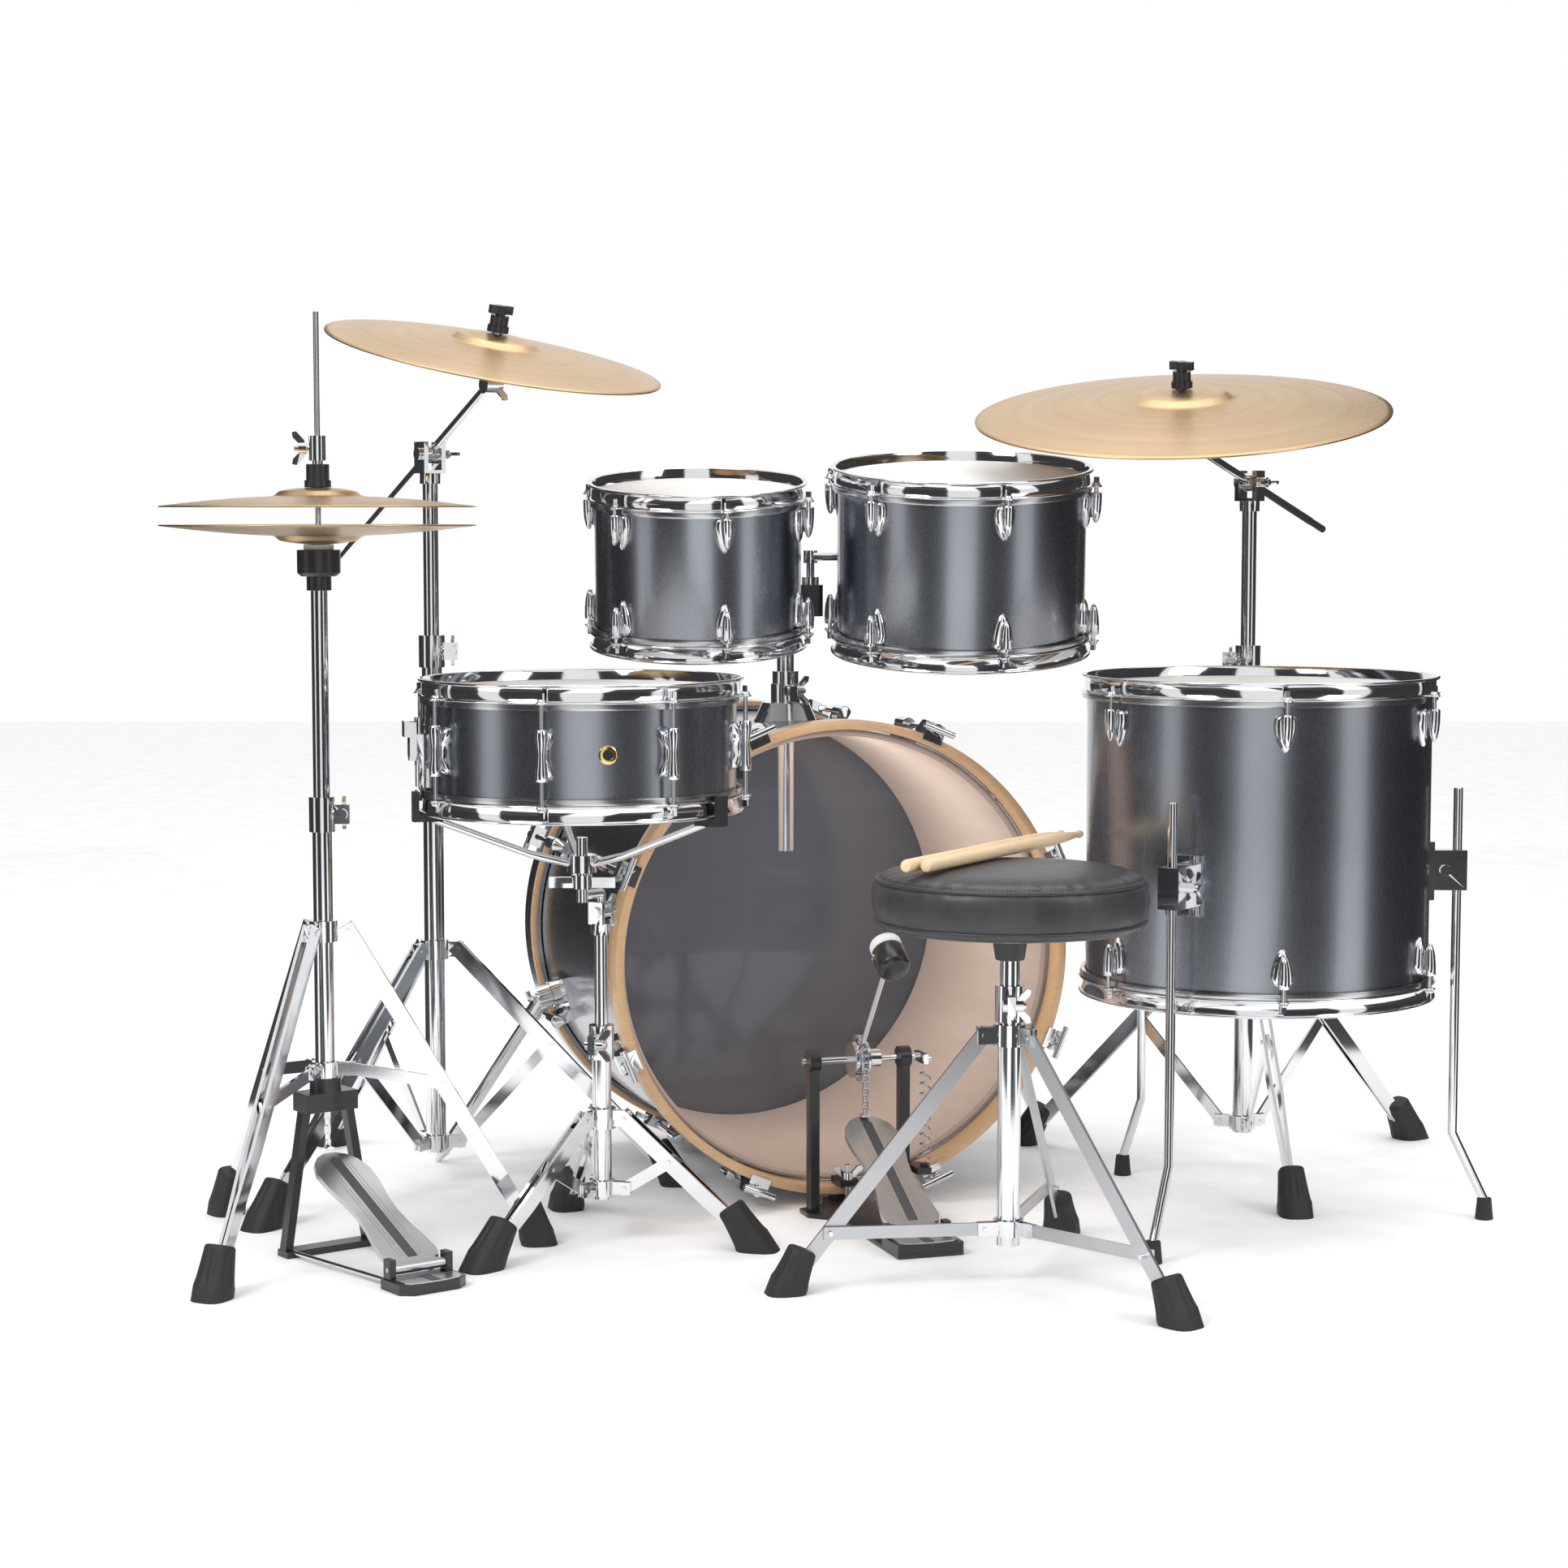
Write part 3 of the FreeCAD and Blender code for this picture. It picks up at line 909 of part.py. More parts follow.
def build_throne():
    at = THRONE
    stand = Tripod(at, (71.5, 191.5, 311.5), 246, 277, 62, THRONE_LOWER, 0.8, False, 35.0)
    stand.build("throne_tripod", 42, THRONE_LOWER_TOP)
    add("throne_tripod", *height_clamp(at + V(0, 0, THRONE_LOWER_TOP), THRONE_LOWER, THRONE_UPPER, 270))
    upper_tube("throne_post", at, 120, SEAT_Z - 6, THRONE_UPPER)
    sleeve = fuse(cone(at + V(0, 0, SEAT_Z - 36), at + V(0, 0, SEAT_Z - 4), 16, 21),
                  cyl(at + V(0, 0, SEAT_Z - 4), at + V(0, 0, SEAT_Z), 62))
    sleeve = sleeve.cut(cyl(at, at + V(0, 0, SEAT_Z - 6), THRONE_UPPER + TOUCH))
    add("throne_post", sleeve)
    low = SEAT_Z + 0.3
    outline = [(0, low), (SEAT_RADIUS - 9, low), (SEAT_RADIUS - 2, low + 6), (SEAT_RADIUS, low + 16),
               (SEAT_RADIUS, low + SEAT_THICK - 20), (SEAT_RADIUS - 5, low + SEAT_THICK - 7),
               (SEAT_RADIUS - 18, low + SEAT_THICK - 1), (SEAT_RADIUS - 40, low + SEAT_THICK),
               (0, low + SEAT_THICK)]
    add("throne_seat", placed(spin(outline), Placement(V(at.x, at.y, 0), Rotation())))
    top = low + SEAT_THICK + STICK_RADIUS + 0.1
    for shift, slide in ((-9, 0), (9, 12)):
        line = V(0.50, 0.866, 0)
        middle = V(at.x - 10, at.y + 90, top) + V(0.866, -0.5, 0) * shift + line * slide
        butt = middle - line * STICK_LENGTH / 2
        body = [(0, 0), (5.5, 0), (STICK_RADIUS, 4), (STICK_RADIUS, STICK_LENGTH - 90),
                (3.4, STICK_LENGTH - 16), (4.8, STICK_LENGTH - 9), (3.4, STICK_LENGTH), (0, STICK_LENGTH)]
        add("drumsticks", placed(spin(body), frame(butt, Z, line)))


# ---------------------------------------------------------------- bass drum pedal
PEDAL_AXLE = (46.0, 188.0)         # axle: distance from the hoop's face, height
PEDAL_HEEL = 250.0
PEDAL_HEEL_Z = 22.0
PEDAL_TOE_Z = 118.0
SPROCKET = 26.0
BEATER_ROD = 178.0
BEATER_LEAN = 38.0
POST_HALF = 58.0


def build_pedal():
    """Pedal in local axes: X from the hoop towards the drummer, Y to the drummer's right."""
    place = frame(V(BASS_FACE.x, BASS_FACE.y, 0), -BASS_AXIS, Z)

    def put(node, *shapes):
        add(node, *[placed(shape, place) for shape in shapes])

    axle_x, axle_z = PEDAL_AXLE
    hoop_low = BASS_FACE.z - BASS_RADIUS - WOOD_GAP - WOOD_THICK
    hoop_in = hoop_low + WOOD_THICK
    outline = [(-24, 22), (10, 34), (30, 70), (62, 70), (90, 40), (PEDAL_HEEL + 48, 40)]
    base = plate(outline + [(x, -y) for x, y in reversed(outline)], 4, False)
    base.translate(V(0, 0, 1))
    jaw_low = box(20, 28, hoop_low - 5.1, V(-13, 0, 5 + (hoop_low - 5.1) / 2))
    jaw = box(36, 24, 8, V(-3, 0, hoop_in + 5.2))
    screw = fuse(cyl(V(8, 0, 5), V(8, 0, hoop_in + 28), WING_BORE - RUN_FIT),
                 cyl(V(8, 0, 5), V(8, 0, 9), WING_HUB))
    jaw = jaw.cut(cyl(V(8, 0, 0), V(8, 0, 60), WING_BORE))
    nut = wing_nut(V(8, 0, hoop_in + 9.2), Z, V(0, 1, 0))
    posts = []
    bore = cyl(V(axle_x, -90, axle_z), V(axle_x, 90, axle_z), 4.2)
    for sign in (1, -1):
        post = fuse(box(18, 11, axle_z - 5, V(axle_x, sign * POST_HALF, 5 + (axle_z - 5) / 2)),
                    cyl(V(axle_x, sign * POST_HALF - 7, axle_z), V(axle_x, sign * POST_HALF + 7, axle_z), 13))
        posts.append(post.cut(bore))
    heel = box(40, 80, 11, V(PEDAL_HEEL + 27.5, 0, 10.5))
    lugs = [box(14, 8, 26, V(PEDAL_HEEL, shift, 18)) for shift in (36, -36)]
    hole = cyl(V(PEDAL_HEEL, -60, PEDAL_HEEL_Z), V(PEDAL_HEEL, 60, PEDAL_HEEL_Z), 3.0)
    put("pedal_frame", base, jaw_low, jaw, screw, nut, *posts, heel)
    put("pedal_frame", *[lug.cut(hole) for lug in lugs])
    put("pedal_footboard", *footboard(PEDAL_HEEL, PEDAL_HEEL_Z, axle_x + 20, PEDAL_TOE_Z, 31.6))
    axle = cyl(V(axle_x, -POST_HALF - 13, axle_z), V(axle_x, 86, axle_z), 4.0)
    sprocket = cyl(V(axle_x, -8, axle_z), V(axle_x, 8, axle_z), SPROCKET - 3)
    collar = cyl(V(axle_x, 10, axle_z), V(axle_x, 26, axle_z), 12)
    lean = V(math.sin(rad(BEATER_LEAN)), 0, math.cos(rad(BEATER_LEAN)))
    axis = V(axle_x, 0, axle_z)
    tip = axis + lean * BEATER_ROD
    rod = cyl(axis + lean * 10, tip + lean * 14, 3.2)
    across = V(lean.z, 0, -lean.x)
    head = fuse(cyl(tip - across * 22, tip + across * 22, 20), cyl(tip + across * -26, tip - across * 22, 17))
    rocker = fuse(box(34, 6, 12, axis + V(12, 77, 0)), cyl(axis + V(24, 73, 0), axis + V(24, 84, 0), 4))
    put("pedal_beater", fuse(axle, sprocket, collar, rod, rocker), head.cut(cyl(axis, tip + lean * 14, 3.3)))
    spring_x = axle_x + 24
    put("pedal_chain", *chain(V(axle_x + SPROCKET + 1.0, 0, 0), PEDAL_TOE_Z + 7, axle_z, 8))
    coil_low, coil_high = 60.0, axle_z - 12
    put("pedal_frame", fuse(box(40, 18, 8, V(axle_x + 17, POST_HALF + 14.6, 52)),
                            cyl(V(spring_x, 78, 50), V(spring_x, 78, coil_low), 5.5)))
    turns = 9.0
    helix = Part.makeHelix((coil_high - coil_low - 4) / turns, coil_high - coil_low - 4, 6.0)
    start = V(6.0, 0, 0)
    wire = Part.Wire(helix)
    ring = Part.Wire(Part.makeCircle(1.1, start, V(0, 1, 0.1)))
    coil = wire.makePipeShell([ring], True, True)
    coil.translate(V(spring_x, 78, coil_low + 2))
    put("pedal_spring", coil)


def chain(at, low, high, count):
    """Roller chain hanging straight, as links whose plates alternate."""
    pitch = (high - low) / count
    links = []
    for number in range(count):
        middle = V(at.x, 0, low + pitch * (number + 0.5))
        if number % 2:
            links += [box(5, 1.2, pitch + 4, middle + V(0, side * 3.6, 0)) for side in (1, -1)]
        else:
            links += [box(5, 1.2, pitch + 4, middle + V(0, side * 2.2, 0)) for side in (1, -1)]
        links.append(cyl(middle + V(0, -4.6, -pitch / 2), middle + V(0, 4.6, -pitch / 2), 2.2))
    links.append(box(8, 10, 2.4, V(at.x - 2, 0, low - 2.4)))
    return [fuse(*links)]


# ---------------------------------------------------------------- build and export
build_bass()
build_spur(-1, "bass_spur_left")
build_spur(1, "bass_spur_right")
build_tom_mount()
build_floor_tom()
build_snare()
build_snare_stand()
build_hats()
CRASH.build()
RIDE.build()
build_throne()
build_pedal()

everything = Part.makeCompound([solid for solids in NODES.values() for solid in solids])
limits = everything.optimalBoundingBox(True, False)
CENTRE = V((limits.XMin + limits.XMax) / 2, (limits.YMin + limits.YMax) / 2, 0)

os.makedirs("parts", exist_ok=True)
for name, solids in NODES.items():
    group = Part.makeCompound([solid.copy() for solid in solids])
    group.translate(-CENTRE)
    group.exportStep("parts/" + name + ".step")
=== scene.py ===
"""Looks of an acoustic drum kit: five drums, cymbals on stands, pedals, throne and sticks.

Every sub-assembly is a small class with its sizes as fields.
"""

import json
import logging
import math
from dataclasses import dataclass, field
from enum import Enum
from typing import Callable, Iterable, Sequence

import bmesh
import bpy
from mathutils import Matrix, Vector


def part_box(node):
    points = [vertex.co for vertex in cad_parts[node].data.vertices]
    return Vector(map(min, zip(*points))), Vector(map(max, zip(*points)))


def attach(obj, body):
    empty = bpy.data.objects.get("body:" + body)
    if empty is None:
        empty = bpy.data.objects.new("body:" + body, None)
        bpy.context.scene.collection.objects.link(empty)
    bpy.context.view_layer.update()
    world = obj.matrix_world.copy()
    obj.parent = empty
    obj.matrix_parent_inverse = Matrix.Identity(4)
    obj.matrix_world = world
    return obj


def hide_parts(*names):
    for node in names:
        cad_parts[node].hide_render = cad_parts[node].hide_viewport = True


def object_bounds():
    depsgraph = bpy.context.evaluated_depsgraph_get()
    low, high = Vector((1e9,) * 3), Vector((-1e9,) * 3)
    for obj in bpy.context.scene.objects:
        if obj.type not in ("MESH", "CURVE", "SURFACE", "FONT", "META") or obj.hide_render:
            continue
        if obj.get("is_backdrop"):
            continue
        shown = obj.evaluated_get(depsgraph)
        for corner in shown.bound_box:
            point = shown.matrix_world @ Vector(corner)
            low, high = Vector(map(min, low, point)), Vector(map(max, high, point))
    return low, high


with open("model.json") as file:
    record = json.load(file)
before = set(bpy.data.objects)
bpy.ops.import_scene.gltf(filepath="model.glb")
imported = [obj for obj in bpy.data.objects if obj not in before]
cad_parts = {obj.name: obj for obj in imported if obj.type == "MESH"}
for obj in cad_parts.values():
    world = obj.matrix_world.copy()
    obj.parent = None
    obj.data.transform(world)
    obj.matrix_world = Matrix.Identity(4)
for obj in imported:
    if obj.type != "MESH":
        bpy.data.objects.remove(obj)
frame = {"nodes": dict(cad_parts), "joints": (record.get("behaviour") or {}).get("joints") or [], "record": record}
LOG = logging.getLogger("drum_kit")
INCH = 0.0254
MM = 0.001
UP = Vector((0, 0, 1))
Number = float | int
Colour = tuple[float, float, float]


# ---------------------------------------------------------------- node graph
class Socket:
    """An output socket with arithmetic: every operator adds one Math node."""

    def __init__(self, graph: "Graph", socket: bpy.types.NodeSocket) -> None:
        self.graph, self.socket = graph, socket

    def __add__(self, other: "Socket | Number") -> "Socket":
        return self.graph.math("ADD", self, other)

    def __radd__(self, other: Number) -> "Socket":
        return self.graph.math("ADD", other, self)

    def __sub__(self, other: "Socket | Number") -> "Socket":
        return self.graph.math("SUBTRACT", self, other)

    def __rsub__(self, other: Number) -> "Socket":
        return self.graph.math("SUBTRACT", other, self)

    def __mul__(self, other: "Socket | Number") -> "Socket":
        return self.graph.math("MULTIPLY", self, other)

    def __rmul__(self, other: Number) -> "Socket":
        return self.graph.math("MULTIPLY", other, self)

    def __truediv__(self, other: "Socket | Number") -> "Socket":
        return self.graph.math("DIVIDE", self, other)

    def __rtruediv__(self, other: Number) -> "Socket":
        return self.graph.math("DIVIDE", other, self)

    def __pow__(self, other: "Socket | Number") -> "Socket":
        return self.graph.math("POWER", self, other)

    def __gt__(self, other: "Socket | Number") -> "Socket":
        return self.graph.math("GREATER_THAN", self, other)

    def __lt__(self, other: "Socket | Number") -> "Socket":
        return self.graph.math("LESS_THAN", self, other)

    def __abs__(self) -> "Socket":
        return self.graph.math("ABSOLUTE", self)

    def sine(self) -> "Socket":
        """Sine of the value, in radians."""
        return self.graph.math("SINE", self)

    def clamp(self) -> "Socket":
        """The value held between 0 and 1."""
        return self.graph.node("ShaderNodeClamp", links={"Value": self})


class Graph:
    """Builds the nodes of one material."""

    def __init__(self, material: bpy.types.Material) -> None:
        material.use_nodes = True
        self.tree = material.node_tree
        self.tree.nodes.clear()

    def node(self, kind: str, settings: dict | None = None, values: dict | None = None,
             links: dict | None = None, output: int | str = 0) -> Socket:
        """Add a node.

        Args:
            kind: the node's type name.
            settings: attributes of the node.
            values: input name or number to constant.
            links: input name or number to Socket.
            output: which output to return.

        Returns:
            The chosen output as a Socket.
        """
        made = self.tree.nodes.new(kind)
        for key, value in (settings or {}).items():
            setattr(made, key, value)
        for key, value in (values or {}).items():
            made.inputs[key].default_value = value
        for key, wire in (links or {}).items():
            self.tree.links.new(wire.socket, made.inputs[key])
        return Socket(self, made.outputs[output])

    def math(self, operation: str, first: Socket | Number,
             second: Socket | Number | None = None) -> Socket:
        """Add a Math node whose inputs are sockets or constants.

        Args:
            operation: the node's operation.
            first: left side.
            second: right side, if the operation takes two.

        Returns:
            The node's value.
        """
        values, links = {}, {}
        for index, item in enumerate((first, second)):
            if isinstance(item, Socket):
                links[index] = item
            elif item is not None:
                values[index] = item
        return self.node("ShaderNodeMath", {"operation": operation}, values, links)

    def place(self) -> Socket:
        """Object coordinates, which are metres in the row frame."""
        return self.node("ShaderNodeTexCoord", output="Object")

    def axes(self, vector: Socket) -> tuple[Socket, Socket, Socket]:
        """X, Y and Z of a vector."""
        split = self.node("ShaderNodeSeparateXYZ", links={0: vector})
        made = split.socket.node
        return tuple(Socket(self, made.outputs[index]) for index in range(3))

    def about(self, centre: Vector, turn: Matrix | None = None) -> Socket:
        """Coordinates about a centre, turned so that Z lies along the turn's third column.

        Args:
            centre: the new origin.
            turn: rotation of the new axes, or none.

        Returns:
            The moved coordinates.
        """
        moved = self.node("ShaderNodeVectorMath", {"operation": "SUBTRACT"}, {1: centre}, {0: self.place()})
        if turn is None:
            return moved
        euler = turn.to_3x3().inverted().to_euler()
        return self.node("ShaderNodeMapping", {"vector_type": "POINT"}, {"Rotation": euler},
                         {"Vector": moved})

    def stretch(self, vector: Socket, scale: Sequence[float]) -> Socket:
        """Vector times a scale along each axis."""
        return self.node("ShaderNodeVectorMath", {"operation": "MULTIPLY"}, {1: scale}, {0: vector})

    def noise(self, vector: Socket, scale: float, detail: float = 3.0, rough: float = 0.5) -> Socket:
        """Noise from 0 to 1."""
        return self.node("ShaderNodeTexNoise", None, {"Scale": scale, "Detail": detail, "Roughness": rough},
                         {"Vector": vector})

    def blend(self, share: Socket | Number, first: Colour | Socket, second: Colour | Socket) -> Socket:
        """Mix two colours by a share.

        Args:
            share: 0 gives the first colour, 1 the second.
            first: a colour.
            second: a colour.

        Returns:
            The mixed colour.
        """
        values, links = {}, {}
        for key, item in ((0, share), (6, first), (7, second)):
            if isinstance(item, Socket):
                links[key] = item
            else:
                values[key] = item if key == 0 else (*item, 1.0)
        return self.node("ShaderNodeMix", {"data_type": "RGBA"}, values, links, output=2)

    def bump(self, height: Socket, strength: float, distance: float) -> Socket:
        """Normal from a height."""
        values = {"Strength": strength, "Distance": distance}
        return self.node("ShaderNodeBump", None, values, {"Height": height})

    def surface(self, values: dict, links: dict | None = None) -> Socket:
        """Principled shader with constants and varying inputs."""
        return self.node("ShaderNodeBsdfPrincipled", None, values, links)

    def output(self, shader: Socket) -> None:
        """Join the shader to the material's output."""
        end = self.tree.nodes.new("ShaderNodeOutputMaterial")
        self.tree.links.new(shader.socket, end.inputs["Surface"])


# ---------------------------------------------------------------- finishes
@dataclass(frozen=True)
class Finish:
    """A named finish; paint() fills the node graph of its material."""

    name: str

    def material(self) -> bpy.types.Material:
        """The finish's material, made once and named apart from the frame's own materials."""
        found = bpy.data.materials.get(self.name + "_look")
        if found is None:
            found = bpy.data.materials.new(self.name + "_look")
            self.paint(Graph(found))
        return found

    def paint(self, graph: Graph) -> None:
        """Fill the graph."""
        raise NotImplementedError


@dataclass(frozen=True)
class Plated(Finish):
    """Polished plating or bare metal, with faint smudges and fine wear."""

    colour: Colour = (0.80, 0.81, 0.83)
    rough: float = 0.06
    smudge: float = 0.10

    def paint(self, graph: Graph) -> None:
        """Metal whose sheen is broken by smudges.

        Args:
            graph: the material's nodes.
        """
        place = graph.place()
        cloud = graph.noise(place, 22.0, 4.0)
        fine = graph.noise(place, 900.0, 2.0)
        dull = tuple(0.86 * part for part in self.colour)
        colour = graph.blend(cloud, self.colour, dull)
        rough = self.rough + self.smudge * (cloud ** 3.0)
        normal = graph.bump(fine, 0.05, 0.0002)
        graph.output(graph.surface({"Metallic": 1.0}, {"Base Color": colour, "Roughness": rough,
                                                       "Normal": normal}))


@dataclass(frozen=True)
class Painted(Finish):
    """Satin paint, moulded plastic or rubber, with a fine grain."""

    colour: Colour = (0.02, 0.02, 0.022)
    rough: float = 0.4
    grain: float = 600.0
    relief: float = 0.12
    coat: float = 0.0

    def paint(self, graph: Graph) -> None:
        """Even colour with a fine relief.

        Args:
            graph: the material's nodes.
        """
        place = graph.place()
        grain = graph.noise(place, self.grain, 3.0)
        cloud = graph.noise(place, 14.0, 4.0)
        pale = tuple(min(1.0, 1.35 * part + 0.004) for part in self.colour)
        colour = graph.blend(cloud, self.colour, pale)
        rough = self.rough - 0.08 + 0.16 * cloud
        graph.output(graph.surface({"Coat Weight": self.coat, "Coat Roughness": 0.1},
                                   {"Base Color": colour, "Roughness": rough,
                                    "Normal": graph.bump(grain, self.relief, 0.0003)}))


@dataclass(frozen=True)
class Wrap(Finish):
    """Dark metallic wrap with brushed depth under a clear gloss."""

    dark: Colour = (0.190, 0.205, 0.235)
    light: Colour = (0.430, 0.455, 0.500)

    def paint(self, graph: Graph) -> None:
        """Metallic film with flakes and brush marks.

        Args:
            graph: the material's nodes.
        """
        place = graph.place()
        flake = graph.noise(place, 1800.0, 2.0)
        brush = graph.noise(graph.stretch(place, (160.0, 160.0, 6.0)), 14.0, 2.0)
        cloud = graph.noise(place, 5.0, 3.0)
        share = (0.25 * flake + 0.15 * brush + 0.60 * cloud).clamp()
        colour = graph.blend(share, self.dark, self.light)
        rough = 0.24 + 0.06 * brush
        graph.output(graph.surface({"Metallic": 1.0, "Coat Weight": 0.35, "Coat Roughness": 0.05},
                                   {"Base Color": colour, "Roughness": rough,
                                    "Normal": graph.bump(cloud, 0.1, 0.0004)}))


@dataclass(frozen=True)
class Timber(Finish):
    """Wood with grain that runs along one direction of a turned frame."""

    pale: Colour = (0.74, 0.50, 0.29)
    deep: Colour = (0.55, 0.31, 0.14)
    stretch: tuple[float, float, float] = (3.0, 60.0, 60.0)
    rough: float = 0.35
    coat: float = 0.5

    def paint(self, graph: Graph) -> None:
        """Fibres and darker bands along the grain.

        Args:
            graph: the material's nodes.
        """
        place = graph.place()
        drawn = graph.stretch(place, self.stretch)
        fibre = graph.noise(drawn, 5.0, 6.0, 0.6)
        band = graph.noise(drawn, 1.4, 3.0)
        pore = graph.noise(graph.stretch(place, tuple(6 * part for part in self.stretch)), 8.0, 2.0)
        share = (1.5 * (0.6 * fibre + 0.4 * band) - 0.25).clamp()
        colour = graph.blend(share, self.pale, self.deep)
        graph.output(graph.surface({"Coat Weight": self.coat, "Coat Roughness": 0.12},
                                   {"Base Color": colour, "Roughness": self.rough + 0.1 * pore,
                                    "Normal": graph.bump(pore, 0.12, 0.0003)}))


@dataclass(frozen=True)
class Bronze(Finish):
    """Lathed cymbal bronze: grooves run round the centre, with shallow hammer marks."""

    centre: tuple[float, float, float] = (0.0, 0.0, 0.0)
    normal: tuple[float, float, float] = (0.0, 0.0, 1.0)
    pitch: float = 0.0018
    bell: float = 0.05

    def paint(self, graph: Graph) -> None:
        """Rings of tone, grooves and hammer marks about the centre.

        Args:
            graph: the material's nodes.
        """
        turn = Vector(self.normal).to_track_quat("Z", "Y").to_matrix()
        local = graph.about(Vector(self.centre), turn)
        x, y, _ = graph.axes(local)
        radius = (x * x + y * y) ** 0.5
        wobble = graph.noise(local, 14.0, 2.0)
        groove = ((radius + 0.0006 * wobble) * (2 * math.pi / self.pitch)).sine()
        fine = ((radius + 0.0002 * wobble) * (2 * math.pi / (0.31 * self.pitch))).sine()
        hammer = graph.node("ShaderNodeTexVoronoi", None, {"Scale": 42.0}, {"Vector": local})
        ring = graph.noise(graph.node("ShaderNodeCombineXYZ", None, None, {0: radius}), 55.0, 3.0)
        tone = (0.35 + 0.9 * (ring - 0.5) + 0.10 * groove + 0.18 * wobble).clamp()
        colour = graph.blend(tone, (0.66, 0.47, 0.27), (0.40, 0.26, 0.13))
        height = groove * 0.6 + fine * 0.35 + hammer * 1.1
        rough = 0.24 + 0.05 * groove + 0.14 * ring
        graph.output(graph.surface({"Metallic": 1.0, "Anisotropic": 0.35},
                                   {"Base Color": colour, "Roughness": rough,
                                    "Normal": graph.bump(height, 0.16, 0.0004)}))


class Film(Enum):
    """Kinds of drum head."""

    COATED = "coated"
    CLEAR = "clear"
    DARK = "dark"


@dataclass(frozen=True)
class Skin(Finish):
    """Drum head film: coated white, clear, or dark gloss."""

    kind: Film = Film.COATED

    def paint(self, graph: Graph) -> None:
        """Film for the chosen kind of head.

        Args:
            graph: the material's nodes.
        """
        place = graph.place()
        cloud = graph.noise(place, 7.0, 4.0)
        grit = graph.noise(place, 1500.0, 2.0)
        if self.kind is Film.COATED:
            colour = graph.blend(cloud, (0.86, 0.85, 0.84), (0.76, 0.74, 0.73))
            graph.output(graph.surface({"Subsurface Weight": 0.0}, {
                "Base Color": colour, "Roughness": 0.42 + 0.2 * grit,
                "Normal": graph.bump(grit, 0.18, 0.0002)}))
            return
        if self.kind is Film.DARK:
            colour = graph.blend(cloud, (0.020, 0.022, 0.028), (0.045, 0.05, 0.062))
            graph.output(graph.surface({"Coat Weight": 0.6}, {
                "Base Color": colour, "Roughness": 0.10 + 0.06 * cloud}))
            return
        sheen = graph.surface({"IOR": 1.5, "Coat Weight": 0.5}, {
            "Base Color": graph.blend(cloud, (0.36, 0.36, 0.42), (0.46, 0.46, 0.52)),
            "Roughness": 0.02 + 0.04 * cloud})
        clear = graph.node("ShaderNodeBsdfTransparent", None, {"Color": (0.93, 0.93, 0.95, 1.0)})
        facing = graph.node("ShaderNodeLayerWeight", None, {"Blend": 0.35}, output="Fresnel")
        share = (0.12 + 0.7 * facing).clamp()
        graph.output(graph.node("ShaderNodeMixShader", None, None, {0: share, 1: clear, 2: sheen}))


@dataclass(frozen=True)
class Vinyl(Finish):
    """Soft black vinyl with a fine leather grain."""

    colour: Colour = (0.018, 0.018, 0.02)

    def paint(self, graph: Graph) -> None:
        """Grain of small cells over soft folds.

        Args:
            graph: the material's nodes.
        """
        place = graph.place()
        cell = graph.node("ShaderNodeTexVoronoi", {"feature": "DISTANCE_TO_EDGE"}, {"Scale": 420.0},
                          {"Vector": place})
        fold = graph.noise(place, 38.0, 4.0)
        colour = graph.blend(fold, self.colour, (0.045, 0.045, 0.05))
        height = cell * 1.4 + fold * 0.8
        graph.output(graph.surface({"Coat Weight": 0.15, "Coat Roughness": 0.25},
                                   {"Base Color": colour, "Roughness": 0.34 + 0.18 * fold,
                                    "Normal": graph.bump(height, 0.22, 0.0006)}))


@dataclass(frozen=True)
class Felt(Finish):
    """Pressed felt with loose fibres."""

    colour: Colour

    def paint(self, graph: Graph) -> None:
        """Pale fibres on the colour.

        Args:
            graph: the material's nodes.
        """
        place = graph.place()
        fibre = graph.noise(place, 700.0, 6.0, 0.7)
        cloud = graph.noise(place, 60.0, 3.0)
        pale = tuple(min(1.0, 1.5 * part + 0.02) for part in self.colour)
        graph.output(graph.surface({"Sheen Weight": 0.4}, {
            "Base Color": graph.blend(fibre, self.colour, pale), "Roughness": 0.85 + 0.1 * cloud,
            "Normal": graph.bump(fibre, 0.6, 0.0008)}))


CHROME = Plated("chrome")
STEEL = Plated("bright_steel", (0.62, 0.62, 0.64), 0.2, 0.15)
ALLOY = Plated("satin_alloy", (0.60, 0.61, 0.63), 0.3, 0.12)
GOLD = Plated("gold_plate", (0.85, 0.62, 0.28), 0.14, 0.1)
BLACK = Painted("black_casting", (0.014, 0.014, 0.016), 0.36, 420.0, 0.15, 0.2)
RUBBER = Painted("foot_rubber", (0.013, 0.013, 0.014), 0.62, 520.0, 0.3)
PLASTIC = Painted("black_plastic", (0.012, 0.012, 0.013), 0.3, 300.0, 0.06, 0.3)
GREY_PRINT = Painted("grey_strip", (0.05, 0.05, 0.055), 0.5, 800.0, 0.3)
WRAP = Wrap("shell_wrap")
MAPLE = Timber("maple_hoop")
INNER = Timber("maple_inside", (0.74, 0.62, 0.52), (0.62, 0.49, 0.39), (2.0, 2.0, 26.0), 0.5, 0.15)
HICKORY = Timber("hickory", (0.84, 0.66, 0.44), (0.70, 0.50, 0.30), (22.0, 12.0, 60.0), 0.5, 0.1)
COATED = Skin("coated_film", Film.COATED)
CLEAR = Skin("clear_film", Film.CLEAR)
DARK_FILM = Skin("dark_film", Film.DARK)
VINYL = Vinyl("seat_vinyl")
FELT_GREY = Felt("grey_felt", (0.42, 0.42, 0.41))
FELT_WHITE = Felt("white_felt", (0.78, 0.77, 0.74))


